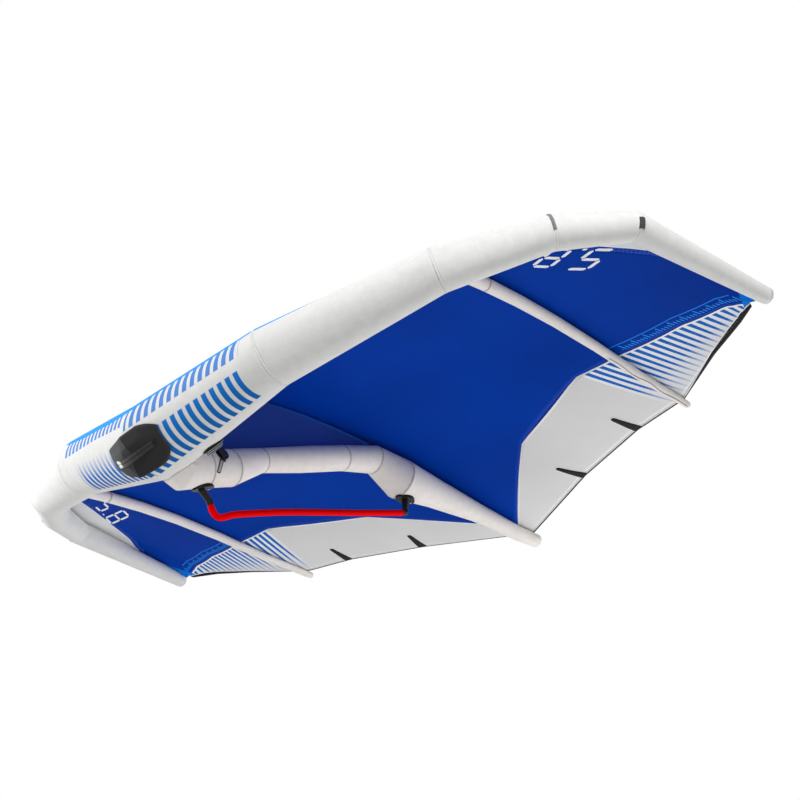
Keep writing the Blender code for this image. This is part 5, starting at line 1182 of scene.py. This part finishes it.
def pad_height(x, angle):
    """Height of the pad over the tube: its thickness times the lesser of its outline's and rows' shares."""
    share = (angle - PAD_ANGLE) / PAD_HALF_ANGLE
    share = share / np.where(share < 0.0, pad_line(x, 2), pad_line(x, 3))
    return PAD_THICKNESS * np.minimum(pad_line(x, 1), np.interp(share, PAD_ROWS[:, 0], PAD_ROWS[:, 1]))


def refined(points, rows, columns):
    """Grid with straight lines between the corners of a coarser one, each length cut into as many steps."""
    for axis, count in ((0, rows), (1, columns)):
        at = np.linspace(0.0, points.shape[axis] - 1.0, (points.shape[axis] - 1) * count + 1)
        low = np.minimum(at.astype(int), points.shape[axis] - 2)
        share = (at - low).reshape((-1, 1, 1) if axis == 0 else (1, -1, 1))
        points = np.take(points, low, axis) * (1.0 - share) + np.take(points, low + 1, axis) * share
    return points


def ribbon(name, line, across, up, half, thick, mat, stands_for=(), sharp=0.35):
    """Closed strip along a line, half wide to each side and thick high, rounded in at both ends. Its section
    is across * half * cos(a)^sharp + up * thick / 2 * sin(a)^0.7, where the powers keep the sign."""
    sides = 28
    angle = 2.0 * np.pi * np.arange(sides) / sides
    wide = np.sign(np.cos(angle)) * np.abs(np.cos(angle)) ** sharp
    high = np.sign(np.sin(angle)) * np.abs(np.sin(angle)) ** 0.7
    run = np.concatenate([[0.0], np.cumsum(np.linalg.norm(np.diff(line, axis=0), axis=1))])
    ends = np.clip(np.minimum(run, run[-1] - run) / (half * 0.5), 0.0, 1.0)
    draw = np.sqrt(np.clip(1.0 - (1.0 - ends) ** 2, 0.03, 1.0))
    shell = (line[:, None] + across[:, None] * (half * draw)[:, None, None] * wide[:, None]
             + up[:, None] * (thick * draw ** 0.5)[:, None, None] * 0.5 * high[:, None])
    width = np.concatenate([wide, wide[:1]]) * half
    measure = np.stack([np.tile(run[:, None], (1, sides + 1)), np.tile(width, (len(run), 1))], -1)
    mesh = grid_mesh(name, outward(shell), closed=True, caps=BOTH_ENDS, measure=measure)
    place_piece(name, mesh, mat, stands_for, crease=55)


def build_pad():
    """Faceted foam pad round the leading edge, with straight lines between the corners that its outline and
    its rows give, slightly eased, and an inner face 1.2 mm over the tube."""
    share = PAD_ROWS[:, 0]
    reach = np.where(share < 0.0, PAD_OUTLINE[:, 2:3], PAD_OUTLINE[:, 3:4])
    angle = PAD_ANGLE + share * PAD_HALF_ANGLE * reach
    x = np.repeat(PAD_X[:, None], len(share), 1)
    top = eased(refined(on_leading_edge(x, angle, pad_height(x, angle)), 9, 9), 2)
    fine_x, fine_angle = [refined(corners[..., None], 9, 9)[..., 0] for corners in (x, angle)]
    under = on_leading_edge(fine_x, fine_angle, np.full_like(fine_x, 0.0012))
    shell = np.concatenate([top, under[:, ::-1]], axis=1)
    turn = np.concatenate([fine_angle, fine_angle[:, ::-1]], axis=1)
    if outward(shell) is not shell:
        shell, turn = shell[::-1], turn[::-1]
    mesh = grid_mesh("handle_pad_cover", shell, closed=True, caps=BOTH_ENDS, marks={"round_tube": turn})
    obj = place_piece("handle_pad_cover", mesh, PAD_COVER, ("handle_pad",), crease=40)


def build_strap():
    """Two webbing bands side by side that arch over the pad, 4 * arch * t * (1 - t) over the straight line
    between their ends, and at least 0.4 mm over the pad."""
    first, last = STRAP_ENDS
    x = np.array(sorted({first + (last - first) * k / 12.0 for k in range(13)} | {0.0}))
    middle = np.full_like(x, STRAP_ANGLE)
    start, end = on_leading_edge(np.array([first, last]), np.full(2, STRAP_ANGLE), np.zeros(2))
    foot, head = on_leading_edge(np.zeros(1), np.full(1, STRAP_ANGLE), np.array([0.0, PAD_THICKNESS]))
    run = (x - first) / (last - first)
    ridge = on_leading_edge(x, middle, np.zeros_like(x)) - (start + (end - start) * run[:, None])
    arch = 4.0 * STRAP_ARCH * run * (1.0 - run) - ridge @ unit(head - foot)
    pad = pad_height(x, middle)
    level = np.maximum(pad - STRAP_THICKNESS * 0.3 + arch, pad + 0.0004) + STRAP_THICKNESS / 2.0
    for name, offset, stands_for in (("upper", -0.5, ("handle_strap",)), ("lower", 0.5, ())):
        turn = middle + offset * STRAP_HALF_ANGLE
        line, beside = [refined(on_leading_edge(x, angle, level)[:, None].repeat(2, 1), 8, 1)[:, 0]
                        for angle in (turn, turn + 1.0)]
        along = unit(np.gradient(line, axis=0))
        across = unit(beside - line)
        across = unit(across - (across * along).sum(-1, keepdims=True) * along)
        ribbon(f"handle_strap_{name}_band", line, across, np.cross(along, across), STRAP_WIDTH * 0.22,
               STRAP_THICKNESS * 0.8, STRAP_WEBBING, stands_for, 0.3)


def build_strap_ends():
    """Bars across the strap's ends: two bright ones on the left, and on the right a dark fold of webbing."""
    for name, sign, turns, mat, slot, stands_for in STRAP_END_PIECES:
        turn = STRAP_ANGLE + np.linspace(*turns, 24) * STRAP_HALF_ANGLE
        end = STRAP_ENDS[0] if sign < 0.0 else STRAP_ENDS[1]
        x = np.full_like(turn, end + sign * (0.0003 + KEEPER_LENGTH / 2.0))
        level = pad_height(x, turn) + STRAP_THICKNESS * 0.45
        line = on_leading_edge(x, turn, level)
        up = unit(on_leading_edge(x, turn, level + 0.001) - line)
        across = np.cross(unit(np.gradient(line, axis=0)), up)
        ribbon(name, line, across, up, KEEPER_LENGTH * 0.46, STRAP_THICKNESS * 0.9, mat, stands_for,
               0.6)


# Lanyard and flaps

# Lanyard's middle line, and its strips: half width, height over the strut, points left off at each end and
# finish
LANYARD = np.array([
    (0.0710, -0.7358, 0.2085), (0.0694, -0.7404, 0.1945), (0.0677, -0.7449, 0.1803),
    (0.0635, -0.7470, 0.1680), (0.0577, -0.7481, 0.1559),
])
LANYARD_STRIPS = {"edge": (0.0088, 0.0016, 0, LANYARD_EDGE), "core": (0.0050, 0.0026, 3, LANYARD_WEBBING)}
# Flap under a side strut: its ends, angle, swing and wave, and its strips: shift, half width, height over
# the strut and finish
FLAP_SPAN, FLAP_ANGLE, FLAP_SWING, FLAP_WAVE = (0.30, 0.785), 80.0, 14.0, 0.19
FLAP_STRIPS = {"cloth": (0.0, 0.0062, 0.0012, STRUT_CLOTH), "dark_strip": (0.0068, 0.0011, 0.0016, FLAP_DARK_STRIP)}


def build_lanyard():
    """Short strap of pale webbing with black edges that hangs from the strut's valve, on the strut."""
    at = np.linspace(0.0, len(LANYARD) - 1.0, 40)
    line = np.column_stack([np.interp(at, np.arange(len(LANYARD)), LANYARD[:, k]) for k in range(3)])
    z, radius = [np.interp(line[:, 1], CENTRE_STRUT[:, 0], CENTRE_STRUT[:, k]) for k in (1, 2)]
    centre = np.column_stack([np.zeros_like(z), line[:, 1], z])
    up = unit(line - centre)
    for part, (half, lift, left_off, mat) in LANYARD_STRIPS.items():
        rise = centre + up * (radius + lift)[:, None]
        across = unit(np.cross(unit(np.gradient(rise, axis=0)), up))
        kept = slice(left_off, len(rise) - left_off)
        ribbon(f"lanyard_{part}", rise[kept], across[kept], up[kept], half, 0.0010, mat)


def build_flaps():
    """Loose edge of the side struts' cover cloth: a strip 12 mm wide that lies along the underside and
    wanders round the tube by up to 14 degrees each way in slow waves, 14 * sin(pi t) * sin(2 pi run / wave),
    with a narrow darker grey strip along its upper edge."""
    y = np.linspace(*FLAP_SPAN, 150)
    z, radius = [np.interp(y, SIDE_STRUT[:, 0], SIDE_STRUT[:, k]) for k in (1, 2)]
    swell = np.sin(np.pi * np.clip((y - y[0]) / (y[-1] - y[0]), 0.0, 1.0))
    turn = np.radians(FLAP_ANGLE + FLAP_SWING * swell * np.sin(2.0 * np.pi * (y - y[0]) / FLAP_WAVE))
    for side, sign in (("R", 1.0), ("L", -1.0)):
        core = np.column_stack([np.full_like(y, sign * SIDE_STRUT_X), y, z])
        for part, (shift, half, lift, mat) in FLAP_STRIPS.items():
            angle = turn + shift / radius
            up = np.column_stack([-sign * np.cos(angle), np.zeros_like(y), -np.sin(angle)])
            line = core + up * (radius + lift)[:, None]
            across = unit(np.cross(unit(np.gradient(line, axis=0)), up))
            ribbon(f"side_strut_flap_{part}_{side}", line, across, up, half, 0.0012, mat)


# Camera and light

WHITE = (1.0, 1.0, 1.0, 1.0)
# Lamps: place, point aimed at, size in metres and power in watts
LAMPS = {
    "key_lamp": ((4.8, -2.6, 3.0), (0.7, -0.3, 0.4), 2.6, 225.0),
    "left_lamp": ((-5.0, -4.6, 2.4), (-0.9, -0.6, 0.4), 3.0, 390.0),
    "low_lamp": ((0.8, 4.2, -1.5), (0.0, 0.3, 0.4), 2.0, 95.0),
}
CAMERA_PLACE, FOCAL_LENGTH, SENSOR_WIDTH = (3.97887, -4.16584, -2.04779), 70.22, 36.0
CAMERA_RIGHT, CAMERA_DOWN = (0.7081, 0.6964, -0.1167), (-0.373, 0.2286, -0.8992)
CAMERA_FORWARD = (-0.5995, 0.6803, 0.4216)


def pale_rays(mat):
    """1 for rays from the camera and for those off or through shiny pieces, and 0 for all others."""
    rays = node(mat, "LightPath", out=None)
    seen = node(mat, "Math", rays["Is Camera Ray"], rays["Is Transmission Ray"], operation="MAXIMUM")
    return node(mat, "Math", seen, rays["Is Glossy Ray"], operation="MAXIMUM")


def build_floor():
    """Plain pale floor under the camera. Pale rays see it as nearly white, with its shadows. It can't be
    seen from below, so it hides nothing in a view from there."""
    mat = finish("studio_floor", "E0E0E0", 0.9)[0]
    tree = mat.node_tree
    share = node(mat, "Math", pale_rays(mat), 0.75, operation="MULTIPLY")
    plain, bright = tree.nodes["Principled BSDF"].outputs[0], node(mat, "Emission", WHITE, 1.0)
    look = node(mat, "MixShader", share, plain, bright)
    below = node(mat, "NewGeometry", out="Backfacing")
    look = node(mat, "MixShader", below, look, node(mat, "BsdfTransparent"))
    tree.links.new(look, tree.nodes["Material Output"].inputs[0])
    bpy.ops.mesh.primitive_plane_add(size=60.0, location=(0.0, 0.0, -2.75))
    floor = bpy.context.object
    floor.name = "studio_floor"
    floor.data.materials.append(mat)


def build_light():
    """Even world light, which pale rays see as white, and three soft lamps."""
    world = bpy.data.worlds.new("studio_world")
    bpy.context.scene.world = world
    world.use_nodes = True
    tree = world.node_tree
    even = tree.nodes["Background"]
    even.inputs["Color"].default_value = WHITE
    even.inputs["Strength"].default_value = 0.35
    seen = node(world, "Background", WHITE, 1.0)
    look = node(world, "MixShader", pale_rays(world), even.outputs[0], seen)
    tree.links.new(look, tree.nodes["World Output"].inputs[0])
    for name, (spot, aim, size, power) in LAMPS.items():
        lamp = bpy.data.lights.new(name, "AREA")
        lamp.shape, lamp.size, lamp.energy = "DISK", size, power
        obj = bpy.data.objects.new(name, lamp)
        obj.location = spot
        obj.rotation_euler = (Vector(aim) - Vector(spot)).to_track_quat("-Z", "Y").to_euler()
        bpy.context.scene.collection.objects.link(obj)


def build_camera():
    """The photograph's view: below, in front and to the right of the wing."""
    lens = bpy.data.cameras.new("camera")
    lens.sensor_width, lens.lens, lens.clip_end = SENSOR_WIDTH, FOCAL_LENGTH, 200.0
    camera = bpy.data.objects.new("camera", lens)
    rows = [(right, -down, -forward, spot) for right, down, forward, spot
            in zip(CAMERA_RIGHT, CAMERA_DOWN, CAMERA_FORWARD, CAMERA_PLACE)]
    camera.matrix_world = Matrix(rows + [(0.0, 0.0, 0.0, 1.0)])
    bpy.context.scene.collection.objects.link(camera)
    bpy.context.scene.camera = camera


# Pieces whose CAD shape is kept get their finish here
CAD_FINISHES = {
    "boom_tube": BOOM_METAL, "boom_mount_front": BLACK_NYLON, "boom_mount_rear": BLACK_NYLON,
    "boom_bolt_front": STEEL, "boom_bolt_rear": STEEL, "le_bladder": FILM, "center_strut_bladder": FILM,
    "side_strut_bladder_L": FILM, "side_strut_bladder_R": FILM, "le_valve_base": LE_VALVE_RINGS,
    "le_valve_collar": LE_VALVE_RINGS, "le_valve_cap": LE_VALVE_RINGS, "strut_valve_base": STRUT_VALVE_RINGS,
    "strut_valve_cap": STRUT_VALVE_RINGS,
}


def finish_cad_nodes():
    """Gives the pieces that keep their CAD shape their materials."""
    for name, mat in CAD_FINISHES.items():
        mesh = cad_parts[name].data
        mesh.materials.clear()
        mesh.materials.append(mat)


build_leading_edge()
build_canopy()
build_battens()
build_struts()
build_web()
build_grip()
build_pad()
build_strap()
build_strap_ends()
build_lanyard()
build_flaps()
build_numbers()
finish_cad_nodes()
build_floor()
build_light()
build_camera()
bpy.context.scene.view_settings.view_transform = "Standard"
